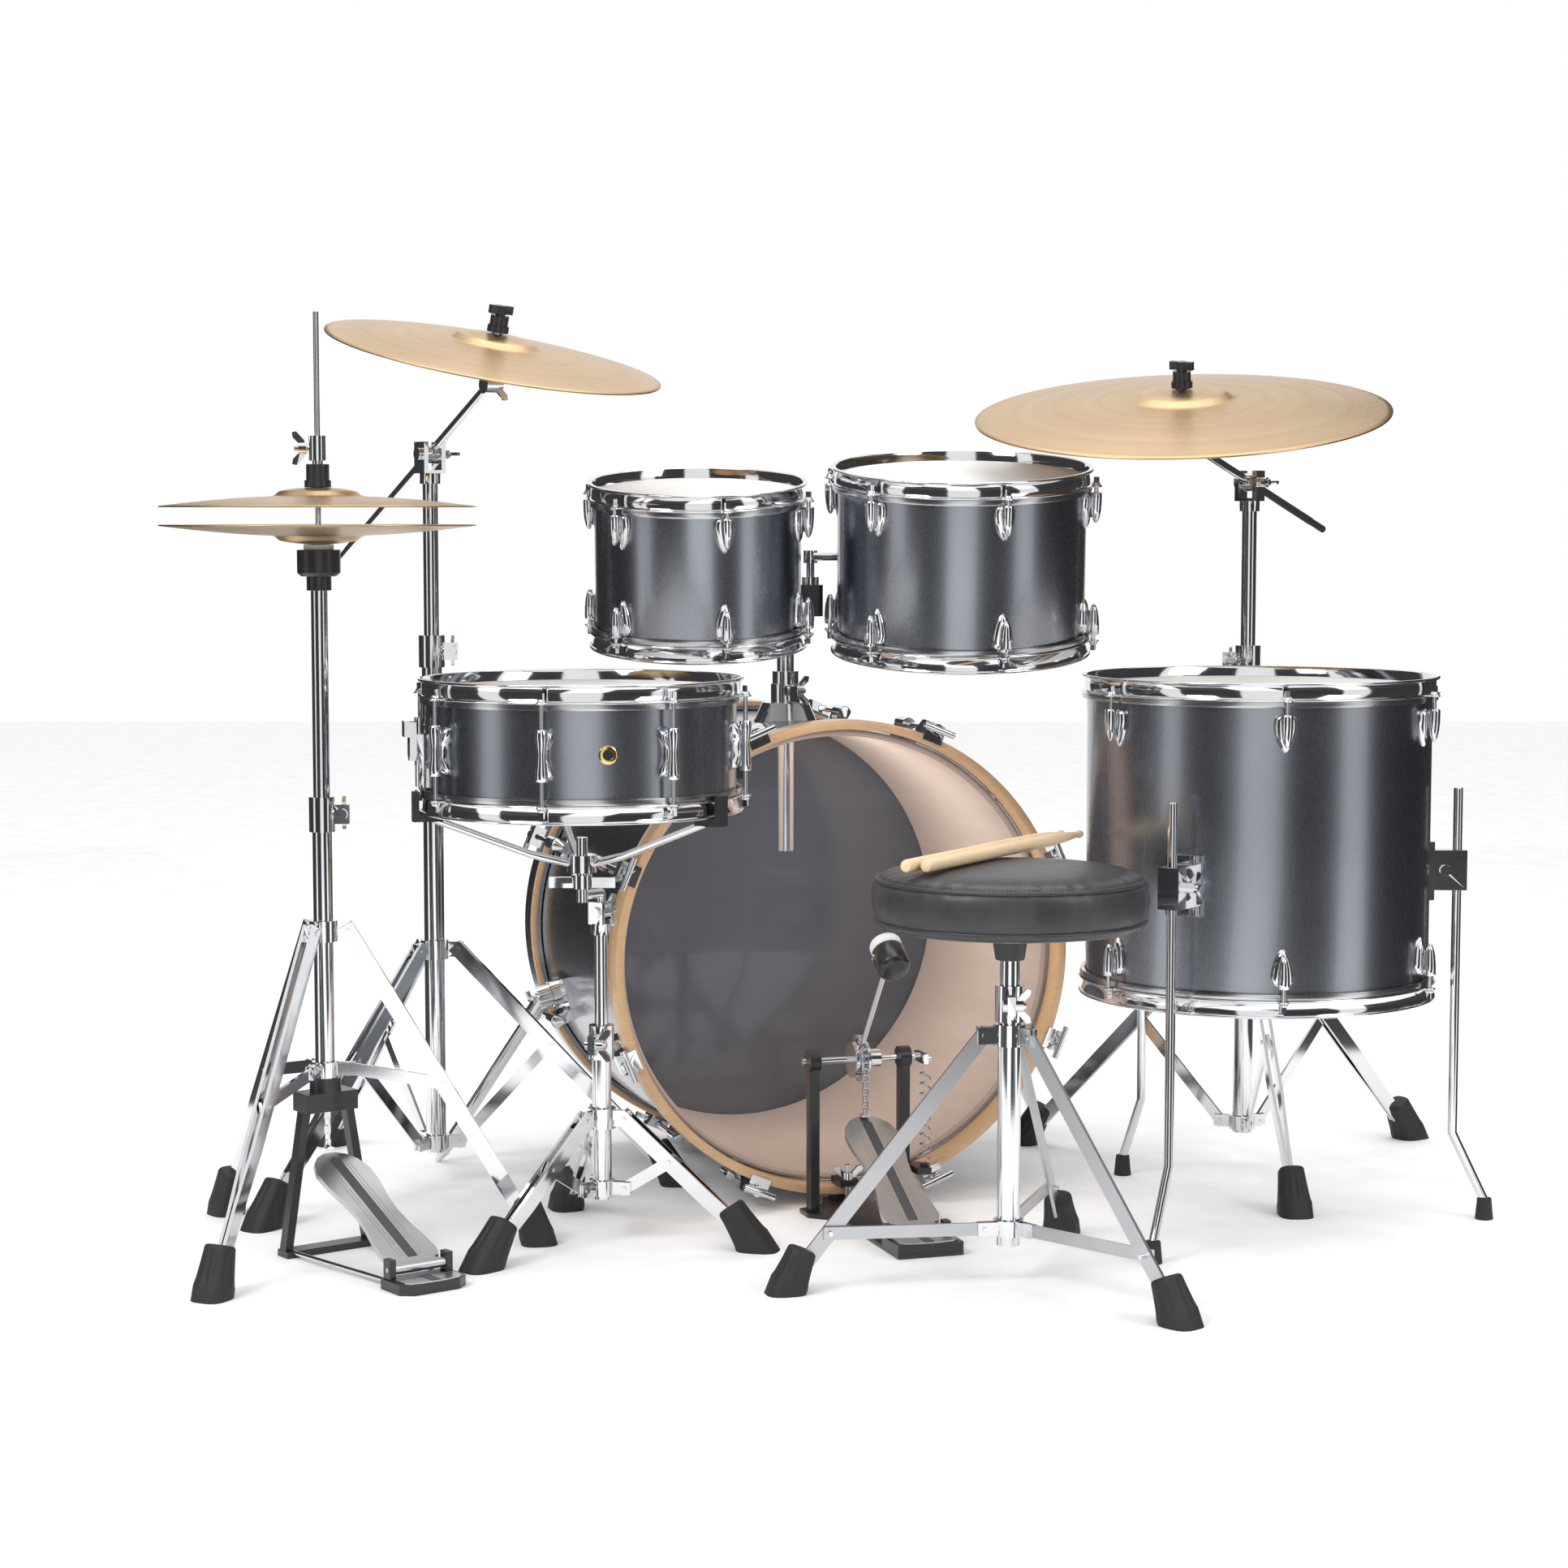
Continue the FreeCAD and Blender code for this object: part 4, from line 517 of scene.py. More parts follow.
# ---------------------------------------------------------------- shapes
@dataclass
class Shape:
    """Vertices and faces, each face marked with the number of its finish."""

    points: list[Vector] = field(default_factory=list)
    faces: list[tuple[int, ...]] = field(default_factory=list)
    marks: list[int] = field(default_factory=list)

    def add(self, other: "Shape", matrix: Matrix | None = None, mark: int | None = None) -> "Shape":
        """Append another shape, moved by a matrix and marked anew if asked.

        Args:
            other: the shape to copy in.
            matrix: where it goes; a mirroring matrix also turns its faces.
            mark: finish number for all its faces, or none to keep theirs.

        Returns:
            This shape.
        """
        start = len(self.points)
        self.points += [matrix @ point if matrix else point.copy() for point in other.points]
        flip = matrix is not None and matrix.to_3x3().determinant() < 0
        for face in other.faces:
            ring = tuple(start + index for index in face)
            self.faces.append(tuple(reversed(ring)) if flip else ring)
        self.marks += [mark if mark is not None else old for old in other.marks]
        return self

    def face(self, *ring: int, mark: int = 0) -> None:
        """Add one face."""
        self.faces.append(tuple(ring))
        self.marks.append(mark)


def lathe(profile: Sequence[tuple[float, float]], segments: int = 48, mark: int = 0,
          closed: bool = False) -> Shape:
    """Turn an outline of (radius, height) about Z.

    Args:
        profile: corners, from the bottom of the outside upwards and inwards.
        segments: steps round the axis.
        mark: finish number.
        closed: joins the last corner to the first, as for a ring.

    Returns:
        The turned shape.
    """
    made = Shape()
    rows: list[list[int]] = []
    for radius, height in profile:
        if radius < 1e-7:
            rows.append([len(made.points)] * segments)
            made.points.append(Vector((0, 0, height)))
            continue
        rows.append(list(range(len(made.points), len(made.points) + segments)))
        for step in range(segments):
            angle = 2 * math.pi * step / segments
            made.points.append(Vector((radius * math.cos(angle), radius * math.sin(angle), height)))
    pairs = list(zip(rows, rows[1:]))
    if closed:
        pairs.append((rows[-1], rows[0]))
    for low, high in pairs:
        for step in range(segments):
            after = (step + 1) % segments
            ring = [low[step], low[after], high[after], high[step]]
            unique = list(dict.fromkeys(ring))
            if len(unique) > 2:
                made.face(*unique, mark=mark)
    return made


def sweep(path: Sequence[Vector], radius: float | Sequence[float], sides: int = 16, mark: int = 0,
          closed: bool = False) -> Shape:
    """Round bar along a path.

    Args:
        path: centre line.
        radius: one radius, or one for each point.
        sides: steps round the bar.
        mark: finish number.
        closed: joins the last point to the first.

    Returns:
        The bar, with flat ends unless closed.
    """
    made = Shape()
    count = len(path)
    radii = [radius] * count if isinstance(radius, (int, float)) else list(radius)
    normal = None
    for index, point in enumerate(path):
        before = path[index - 1] if index or closed else path[0]
        after = path[(index + 1) % count] if index < count - 1 or closed else path[-1]
        along = (after - before).normalized()
        if normal is None:
            normal = along.orthogonal().normalized()
        normal = (normal - along * normal.dot(along)).normalized()
        side = along.cross(normal)
        for step in range(sides):
            angle = 2 * math.pi * step / sides
            made.points.append(point + (normal * math.cos(angle) + side * math.sin(angle)) * radii[index])
    for index in range(count if closed else count - 1):
        low, high = index * sides, ((index + 1) % count) * sides
        for step in range(sides):
            after = (step + 1) % sides
            made.face(low + step, low + after, high + after, high + step, mark=mark)
    if not closed:
        made.face(*reversed(range(sides)), mark=mark)
        made.face(*range((count - 1) * sides, count * sides), mark=mark)
    return made


def prism(outline: Sequence[tuple[float, float]], low: float, high: float, mark: int = 0) -> Shape:
    """Extrude an anticlockwise outline in XY.

    Args:
        outline: corners.
        low: height of the lower face.
        high: height of the upper face.
        mark: finish number.

    Returns:
        The closed prism.
    """
    made = Shape()
    count = len(outline)
    for height in (low, high):
        made.points += [Vector((x, y, height)) for x, y in outline]
    for step in range(count):
        after = (step + 1) % count
        made.face(step, after, count + after, count + step, mark=mark)
    made.face(*reversed(range(count)), mark=mark)
    made.face(*range(count, 2 * count), mark=mark)
    return made


def block(size: Sequence[float], centre: Sequence[float] = (0, 0, 0), mark: int = 0) -> Shape:
    """Box about a centre."""
    x, y, z = (part / 2 for part in size)
    made = prism([(-x, -y), (x, -y), (x, y), (-x, y)], -z, z, mark)
    return Shape().add(made, Matrix.Translation(Vector(centre)))


def stand(origin: Vector, along_x: Vector, along_z: Vector) -> Matrix:
    """Matrix whose local X and Z point along two directions.

    Args:
        origin: local zero.
        along_x: direction that X is closest to.
        along_z: direction of Z.

    Returns:
        The placing matrix.
    """
    z_axis = along_z.normalized()
    y_axis = z_axis.cross(along_x).normalized()
    x_axis = y_axis.cross(z_axis)
    turn = Matrix((x_axis, y_axis, z_axis)).transposed().to_4x4()
    return Matrix.Translation(origin) @ turn


def spin(degrees: float) -> Matrix:
    """Turn about Z."""
    return Matrix.Rotation(math.radians(degrees), 4, "Z")


def middle(node: str) -> Vector:
    """Centre of a CAD node's box."""
    low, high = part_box(node)
    return (Vector(low) + Vector(high)) / 2


def joint(name: str) -> dict:
    """A joint of the record by its name."""
    return next(item for item in frame["joints"] if item["name"] == name)


def body_of(node: str) -> str:
    """The body that a CAD node rides on."""
    bodies = frame["record"]["behaviour"]["bodies"]
    return next(body for body, nodes in bodies.items() if node in nodes)


def slot_of(node: str) -> str:
    """The record's material slot of a CAD node."""
    return next(item["material_slot"] for item in frame["record"]["subparts"] if item["node"] == node)


@dataclass
class Piece:
    """One shown object: its shape, its finishes and what it stands for."""

    name: str
    body: str
    slot: str
    finishes: Sequence[Finish]
    stands_for: Sequence[str] = ()
    bevel: float = 0.0
    crease: float = 38.0

    def emit(self, shape: Shape) -> bpy.types.Object:
        """Make the object from a shape, ride it on its body and hide the CAD nodes it stands for.

        Args:
            shape: vertices and faces in the row frame.

        Returns:
            The new object.
        """
        mesh = bpy.data.meshes.new(self.name)
        mesh.from_pydata([tuple(point) for point in shape.points], [], shape.faces)
        mesh.validate()
        if len(mesh.polygons) == len(shape.marks):
            mesh.polygons.foreach_set("material_index", shape.marks)
        return self.finish(mesh)

    def finish(self, mesh: bpy.types.Mesh) -> bpy.types.Object:
        """Shade the mesh, give it its materials and register the object.

        Args:
            mesh: mesh whose material indices are set.

        Returns:
            The new object.
        """
        for item in self.finishes:
            mesh.materials.append(item.material())
        mesh.polygons.foreach_set("use_smooth", [True] * len(mesh.polygons))
        mesh.set_sharp_from_angle(angle=math.radians(self.crease))
        made = bpy.data.objects.new(self.name, mesh)
        bpy.context.scene.collection.objects.link(made)
        if self.bevel:
            edge = made.modifiers.new("edges", "BEVEL")
            edge.width, edge.segments, edge.limit_method = self.bevel, 2, "ANGLE"
            edge.angle_limit, edge.harden_normals = math.radians(34), True
        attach(made, self.body)
        if self.stands_for:
            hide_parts(*self.stands_for)
        LOG.info("piece %s: %d faces on %s", self.name, len(mesh.polygons), self.body)
        return made


Island = Callable[[Vector, Vector], int]


@dataclass
class CadCopy:
    """A CAD node's own solids with eased edges and a finish for each solid."""

    node: str
    finishes: Sequence[Finish]
    choose: Island = lambda centre, size: 0
    bevel: float = 0.0006

    def build(self) -> bpy.types.Object:
        """Copy the node; choose() gives each solid a finish number, or -1 to leave it out."""
        work = bmesh.new()
        work.from_mesh(frame["nodes"][self.node].data)
        bmesh.ops.remove_doubles(work, verts=work.verts, dist=2e-6)
        bmesh.ops.dissolve_limit(work, angle_limit=math.radians(0.8), verts=work.verts, edges=work.edges,
                                 use_dissolve_boundaries=False)
        drop: list[bmesh.types.BMFace] = []
        for solid in self.solids(work):
            places = [vert.co for face in solid for vert in face.verts]
            low = Vector(min(place[axis] for place in places) for axis in range(3))
            high = Vector(max(place[axis] for place in places) for axis in range(3))
            number = self.choose((low + high) / 2, high - low)
            if number < 0:
                drop += solid
            for face in solid:
                face.material_index = max(number, 0)
        bmesh.ops.delete(work, geom=drop, context="FACES")
        mesh = bpy.data.meshes.new(self.node)
        work.to_mesh(mesh)
        work.free()
        piece = Piece(self.node + "_dressed", body_of(self.node), slot_of(self.node), self.finishes,
                      [self.node], self.bevel)
        return piece.finish(mesh)

    @staticmethod
    def solids(work: bmesh.types.BMesh) -> Iterable[list[bmesh.types.BMFace]]:
        """Groups of faces that hang together.

        Args:
            work: mesh of one node.

        Yields:
            The faces of one solid after another.
        """
        seen: set[bmesh.types.BMFace] = set()
        for first in work.faces:
            if first in seen:
                continue
            seen.add(first)
            group, queue = [], [first]
            while queue:
                face = queue.pop()
                group.append(face)
                for edge in face.edges:
                    for other in edge.link_faces:
                        if other not in seen:
                            seen.add(other)
                            queue.append(other)
            yield group


# ---------------------------------------------------------------- drums
class LugStyle(Enum):
    """Castings that take the tension rods."""

    TEARDROP = "teardrop"
    WAISTED = "waisted"


def pillow(outline: Sequence[tuple[float, float]], height: float, shell: float, levels: int = 7) -> Shape:
    """Domed casting on a shell: outline in (across, up), rising from the shell's curve.

    Args:
        outline: anticlockwise corners about the casting's middle.
        height: how far its crown stands off the shell.
        shell: the shell's radius.
        levels: steps from foot to crown.

    Returns:
        The casting, with X pointing out of the shell and X = 0 on the shell's axis.
    """
    made = Shape()
    count = len(outline)
    for level in range(levels):
        share = level / (levels - 1)
        rise = height * math.sin(share * math.pi / 2)
        shrink = math.cos(share * math.pi / 2) ** 0.55 if level < levels - 1 else 0.12
        for across, up in outline:
            y, z = across * shrink, up * shrink
            made.points.append(Vector((math.sqrt(shell ** 2 - y * y) + rise, y, z)))
    for level in range(levels - 1):
        low, high = level * count, (level + 1) * count
        for step in range(count):
            after = (step + 1) % count
            made.face(low + step, low + after, high + after, high + step)
    made.face(*range((levels - 1) * count, levels * count))
    return made


def smooth_outline(corners: Sequence[tuple[float, float]], steps: int = 5) -> list[tuple[float, float]]:
    """Round an outline's corners with a closed cardinal curve.

    Args:
        corners: points that the curve passes through.
        steps: points for each side.

    Returns:
        The rounded outline.
    """
    made = []
    count = len(corners)
    for index in range(count):
        a, b, c, d = (Vector(corners[(index + shift) % count]) for shift in (-1, 0, 1, 2))
        for step in range(steps):
            t = step / steps
            point = 0.5 * ((2 * b) + (c - a) * t + (2 * a - 5 * b + 4 * c - d) * t * t
                           + (3 * b - a - 3 * c + d) * t ** 3)
            made.append((point.x, point.y))
    return made


@dataclass
class Drum:
    """A drum with two heads, pressed hoops, lugs and tension rods."""

    prefix: str
    body: str
    radius: float
    depth: float
    lug_base: float
    lug_count: int
    style: LugStyle = LugStyle.TEARDROP
    tilt: float = 0.0
    lug_drop: float = 22 * MM
    wall: float = 7 * MM
    badge: bool = True
    plain: bool = False

    def __post_init__(self) -> None:
        self.matrix = Matrix.Translation(middle(self.prefix + "_shell")) @ Matrix.Rotation(
            math.radians(self.tilt), 4, "X")

    def angles(self) -> list[float]:
        """Directions of the lugs."""
        return [self.lug_base + 360 / self.lug_count * step for step in range(self.lug_count)]

    def ends(self, shape: Shape) -> Shape:
        """The shape at the top and, turned over, at the bottom."""
        made = Shape().add(shape)
        first = spin(self.lug_base) @ Vector((1, 0, 0))
        return made.add(shape, Matrix.Rotation(math.pi, 4, first))

    def emit(self, part: str, slot: str, finishes: Sequence[Finish], shape: Shape,
             stands_for: Sequence[str] = (), crease: float = 38.0) -> None:
        """Place a shape made about the drum's middle."""
        placed = Shape().add(shape, self.matrix)
        Piece(f"{self.prefix}_{part}_look", self.body, slot, finishes, stands_for, crease=crease).emit(placed)

    def build(self) -> None:
        """Make every piece of the drum."""
        self.shell()
        self.heads()
        self.hoops()
        self.hardware()

    def shell(self) -> None:
        """Wrapped shell with a bare inside and chamfered bearing edges."""
        r, h, w = self.radius, self.depth / 2, self.wall
        outside = lathe([(r, -h + 0.002), (r, -h * 0.5), (r, 0), (r, h * 0.5), (r, h - 0.002)], 128)
        inside = lathe([(r - w, h - 0.004), (r - w, -h + 0.004)], 128, 1)
        edge = lathe([(r, h - 0.002), (r - 0.0015, h), (r - w * 0.5, h), (r - w, h - 0.004)], 128, 1)
        made = outside.add(inside).add(self.ends(edge))
        vents = Shape()
        if self.badge:
            vent = lathe([(0.0105, 0), (0.0105, 0.0012), (0.009, 0.0022), (0.006, 0.0022), (0.0052, 0.001),
                          (0.0052, -0.004)], 32)
            at = spin(-77.0) @ stand(Vector((r, 0, 0)), UP, Vector((1, 0, 0)))
            vents.add(vent, at)
            vents.add(lathe([(0.0052, 0.0004), (0, 0.0004)], 24, 1), at)
            self.emit("vent", "shell_wrap", (GOLD, PLASTIC), vents)
        self.emit("shell", "shell_wrap", (WRAP, INNER), made, [self.prefix + "_shell"])

    def heads(self) -> None:
        """Film with its collar over the edge, held in an aluminium ring."""
        r, h = self.radius, self.depth / 2
        film = lathe([(r + 0.0012, h - 0.008), (r + 0.0013, h - 0.001), (r + 0.0008, h + 0.0003),
                      (r - 0.001, h + 0.0007), (r * 0.8, h + 0.0008), (r * 0.4, h + 0.0008), (0, h + 0.0008)],
                     128)
        ring = lathe([(r + 0.0012, h - 0.0148), (r + 0.0062, h - 0.0148), (r + 0.0068, h - 0.012),
                      (r + 0.0062, h - 0.0082), (r + 0.0012, h - 0.008)], 128, 1)
        self.emit("heads", "coated_film", (COATED, STEEL), self.ends(film.add(ring)),
                  [self.prefix + "_heads"])

    def hoops(self) -> None:
        """Pressed steel hoop: rolled lip, wall, waist bead and flange with an ear at each rod."""
        r, h = self.radius, self.depth / 2
        inner, low, high = r + 0.0021, h - 0.0077, h + 0.013
        outer = inner + 0.0021
        profile = [(inner, low + 0.0005), (inner + 0.0006, low), (r + 0.0080, low),
                   (r + 0.0085, low + 0.0006), (r + 0.0085, low + 0.0016), (r + 0.0080, low + 0.0022),
                   (outer + 0.001, low + 0.0022),
                   (outer, low + 0.0032), (outer, high - 0.0052), (outer + 0.0008, high - 0.0034),
                   (r + 0.0076, high - 0.0030), (r + 0.0084, high - 0.0022), (r + 0.0084, high - 0.0008),
                   (r + 0.0076, high), (inner + 0.001, high), (inner, high - 0.001)]
        made = lathe(profile, 160, closed=True)
        ear = lathe([(0.0031, 0), (0.0064, 0), (0.0070, 0.0006), (0.0070, 0.0016), (0.0064, 0.0022),
                     (0.0031, 0.0022)], 24, closed=True)
        for angle in self.angles():
            made.add(ear, spin(angle) @ Matrix.Translation(Vector((r + 0.013, 0, low))))
            bridge = block((0.006, 0.013, 0.002), (r + 0.0068, 0, low + 0.0011))
            made.add(bridge, spin(angle))
        self.emit("hoops", "chrome", (CHROME,), self.ends(made), [self.prefix + "_hoops"], 50)

    def rod(self, bottom: float) -> Shape:
        """Tension rod standing at X = radius + 13 mm, with washer and square head.

        Args:
            bottom: height of its lower end.

        Returns:
            The rod.
        """
        low = self.depth / 2 - 0.0055
        shank = lathe([(0.0026, bottom), (0.0026, low), (0.0052, low), (0.0055, low + 0.0004),
                       (0.0055, low + 0.0012), (0.0048, low + 0.0017), (0.0044, low + 0.003),
                       (0.0040, low + 0.0036), (0.0030, low + 0.0036)], 20)
        head = prism([(-0.0024, -0.0030), (0.0024, -0.0030), (0.0030, -0.0024), (0.0030, 0.0024),
                      (0.0024, 0.0030), (-0.0024, 0.0030), (-0.0030, 0.0024), (-0.0030, -0.0024)],
                     low + 0.003, low + 0.0105)
        return Shape().add(shank.add(head), Matrix.Translation(Vector((self.radius + 0.013, 0, 0))))

    def lug(self) -> tuple[Shape, float]:
        """Casting for one direction, and the height at which its rod ends."""
        r = self.radius
        if self.style is LugStyle.WAISTED:
            outline = smooth_outline([(0, -0.027), (0.0085, -0.025), (0.0098, -0.017), (0.0062, -0.006),
                                      (0.0062, 0.006), (0.0098, 0.017), (0.0085, 0.025), (0, 0.027),
                                      (-0.0085, 0.025), (-0.0098, 0.017), (-0.0062, 0.006),
                                      (-0.0062, -0.006), (-0.0098, -0.017), (-0.0085, -0.025)])
            made = pillow(outline, 0.0085, r)
            barrel = lathe([(0.0031, 0.0285), (0.0058, 0.0285), (0.0068, 0.0275), (0.0070, 0.020),
                            (0.0056, 0.010), (0.0048, 0.0), (0.0056, -0.010), (0.0070, -0.020),
                            (0.0068, -0.0275), (0.0058, -0.0285), (0.0031, -0.0285)][::-1], 24)
            made.add(barrel, Matrix.Translation(Vector((r + 0.013, 0, 0))))
            made.add(block((0.010, 0.0062, 0.030), (r + 0.006, 0, 0)))
            return made, 0.014
        top = self.depth / 2 - self.lug_drop
        drop = smooth_outline([(0, -0.0365), (0.0062, -0.030), (0.0110, -0.018), (0.0132, -0.004),
                               (0.0105, 0.0055), (0.0, 0.0088), (-0.0105, 0.0055), (-0.0132, -0.004),
                               (-0.0110, -0.018), (-0.0062, -0.030)])
        made = Shape().add(pillow(drop, 0.0072, r), Matrix.Translation(Vector((0, 0, top))))
        bullet = lathe([(0, -0.030), (0.0022, -0.0285), (0.0042, -0.024), (0.0060, -0.016), (0.0069, -0.006),
                        (0.0070, 0.002), (0.0070, 0.0065), (0.0062, 0.0078), (0.0042, 0.0080),
                        (0.0031, 0.0072)], 24)
        lean = Matrix.Translation(Vector((r + 0.013, 0, top)))
        made.add(bullet, lean)
        web = [(0.004, -0.024), (0.0135, -0.020), (0.0135, 0.004), (0.004, 0.006)]
        made.add(prism(web, -0.0036, 0.0036), Matrix.Translation(Vector((r, 0, top))) @ Matrix.Rotation(
            math.radians(90), 4, "X"))
        return made, top - 0.012

    def hardware(self) -> None:
        """Lugs and rods; the solids near a bracket stay as the CAD made them."""
        casting, bottom = self.lug()
        lugs, rods = Shape(), Shape()
        flip = Matrix.Rotation(math.pi, 4, "X")
        for angle in self.angles():
            turn = spin(angle)
            under = turn @ flip
            lugs.add(casting, turn)
            rods.add(self.rod(bottom), turn)
            rods.add(self.rod(bottom), under)
            if self.style is LugStyle.TEARDROP:
                lugs.add(casting, under)
        self.emit("castings", "chrome", (CHROME,), lugs, [self.prefix + "_lugs"] * self.plain, 44)
        self.emit("rods", "chrome", (CHROME,), rods)

    def bracketry(self) -> None:
        """Solids of the lug node that aren't lugs or rods: brackets, bolts and wing nuts."""
        inverse = self.matrix.inverted()

        def keep(centre: Vector, size: Vector) -> int:
            """Leave out what lies where a lug or its rod stands.

            Args:
                centre: middle of the solid's box.
                size: size of the box; not used.

            Returns:
                -1 for a lug or a rod, else 0.
            """
            local = inverse @ centre
            angle = math.degrees(math.atan2(local.y, local.x))
            apart = min(abs((angle - lug + 180) % 360 - 180) for lug in self.angles())
            return -1 if apart < 3.5 and abs(local.xy.length - self.radius - 0.011) < 0.007 else 0

        CadCopy(self.prefix + "_lugs", (CHROME,), keep, 0.0009).build()


@dataclass
class BassDrum:
    """Bass drum on its side: wooden hoops, clear batter head and dark front head."""

    radius: float = 11 * INCH
    depth: float = 16 * INCH
    wall: float = 8 * MM
    yaw: float = 18.0
    proud: float = 30 * MM
    hoop_gap: float = 1.8 * MM
    hoop_thick: float = 11.2 * MM
    hoop_wide: float = 38 * MM

    def __post_init__(self) -> None:
        centre = middle("bass_shell")
        turn = math.radians(self.yaw)
        self.axis = Vector((-math.sin(turn), math.cos(turn), 0))
        self.side = Vector((math.cos(turn), math.sin(turn), 0))
        reach = self.axis * (self.depth / 2 + self.proud)
        self.batter = stand(centre - reach, self.side, self.axis)
        self.front = stand(centre + reach, self.side, -self.axis)
        self.middle = stand(centre, self.side, self.axis)

    def build(self) -> None:
        """Make shell, heads, hoops and fittings."""
        r, h, w = self.radius, self.depth / 2, self.wall
        shell = lathe([(r, -h + 0.002), (r, -h / 3), (r, h / 3), (r, h - 0.002)], 160)
        shell.add(lathe([(r - w, h - 0.004), (r - w, h / 3), (r - w, -h / 3), (r - w, -h + 0.004)], 160, 1))
        edge = lathe([(r, h - 0.002), (r - 0.0015, h), (r - w / 2, h), (r - w, h - 0.004)], 160, 1)
        shell.add(edge).add(edge, Matrix.Rotation(math.pi, 4, "X"))
        Piece("bass_shell_look", "kit", "shell_wrap", (WRAP, INNER), ["bass_shell"]).emit(
            Shape().add(shell, self.middle))
        self.heads()
        self.hoops()
        CadCopy("bass_lugs_and_claws", (CHROME,), bevel=0.0013).build()
        CadCopy("tom_mount_base", (CHROME,), bevel=0.0016).build()
        for side in ("left", "right"):
            CadCopy("bass_spur_" + side, (CHROME, RUBBER), bevel=0.0012).build()

    def head(self, mark: int) -> Shape:
        """One head: film over the bearing edge, with its flesh ring.

        Args:
            mark: finish number of the film.

        Returns:
            The head, about the middle of its hoop's face.
        """
        r, z = self.radius, self.proud
        ring = [(r + 0.0014, z + 0.0135), (r + 0.0066, z + 0.0140), (r + 0.0066, z + 0.0085),
                (r + 0.0060, z + 0.0080), (r + 0.0014, z + 0.0080)]
        film = [(r + 0.0013, z + 0.0080), (r + 0.0012, z + 0.001), (r + 0.0004, z - 0.0006),
                (r - 0.003, z - 0.0011), (r * 0.97, z - 0.0012), (r * 0.5, z - 0.0012), (0, z - 0.0012)]
        made = lathe([(a, -b) for a, b in film], 160, mark)
        made.add(lathe([(a, -b) for a, b in ring], 160, 2))
        return Shape().add(made, Matrix.Rotation(math.pi, 4, "X"))

    def heads(self) -> None:
        """Clear batter head with its bead, dark front head."""
        both = Shape().add(self.head(0), self.batter).add(self.head(1), self.front)
        Piece("bass_heads_look", "kit", "bass_head_film", (CLEAR, DARK_FILM, STEEL),
              ["bass_heads"]).emit(both)

    def hoops(self) -> None:
        """Maple hoops with eased edges; the front hoop wears a band of the shell's wrap."""
        inner = self.radius + self.hoop_gap
        outer = inner + self.hoop_thick
        wide, ease = self.hoop_wide, 0.0022
        outline = [(inner, ease), (inner + ease * 0.3, ease * 0.3), (inner + ease, 0), (outer - ease, 0),
                   (outer - ease * 0.3, ease * 0.3), (outer, ease), (outer, wide - ease),
                   (outer - ease * 0.3, wide - ease * 0.3), (outer - ease, wide), (inner + ease, wide),
                   (inner + ease * 0.3, wide - ease * 0.3), (inner, wide - ease)]
        ring = lathe(outline, 160, 0, closed=True)
        band = lathe([(outer - 0.0001, 0.003), (outer + 0.0005, 0.0035), (outer + 0.0005, wide - 0.0035),
                      (outer - 0.0001, wide - 0.003)], 160, 1)
        both = Shape().add(ring, self.batter).add(ring, self.front).add(band, self.front)
        Piece("bass_hoops_look", "kit", "maple_hoop", (MAPLE, WRAP), ["bass_hoops"]).emit(both)


# ---------------------------------------------------------------- cymbals
@dataclass
class Cymbal:
    """Lathed cymbal: raised bell and a bow that falls to the rim."""

    node: str
    radius: float
    bell: float
    bell_rise: float
    bow: float
    thick: float
    hole: float
    matrix: Matrix
    flip: bool = False
    pitch: float = 0.0019

    def profile(self) -> list[tuple[float, float]]:
        """Corners of the upper face from rim to hole, the rim at height 0."""
        made = []
        for step in range(26):
            share = 1 - step / 25
            made.append((self.bell + (self.radius - self.bell) * share, self.bow * (1 - share ** 1.5)))
        for step in range(1, 13):
            share = 1 - step / 12
            rise = self.bell_rise * math.sqrt(1 - (0.92 * share) ** 2)
            made.append((max(self.hole, self.bell * share), self.bow + rise))
        return made[:25] + [(self.bell * 1.012, self.bow + 0.12 * self.bell_rise)] + made[26:]

    def build(self) -> None:
        """Make the cymbal with a thin rounded rim."""
        upper = self.profile()
        lower = [(r, z - self.thick) for r, z in reversed(upper)]
        rim = [(self.radius + 0.0003, -self.thick * 0.5)]
        made = lathe(lower + rim + upper, 160)
        place = self.matrix @ Matrix.Rotation(math.pi, 4, "X") if self.flip else self.matrix
        centre, normal = place.translation, place.to_3x3() @ UP
        finish = Bronze("bronze_" + self.node, tuple(centre), tuple(normal), self.pitch)
        Piece(self.node + "_look", body_of(self.node), "cymbal_bronze", (finish,), [self.node],
              crease=70).emit(Shape().add(made, place))


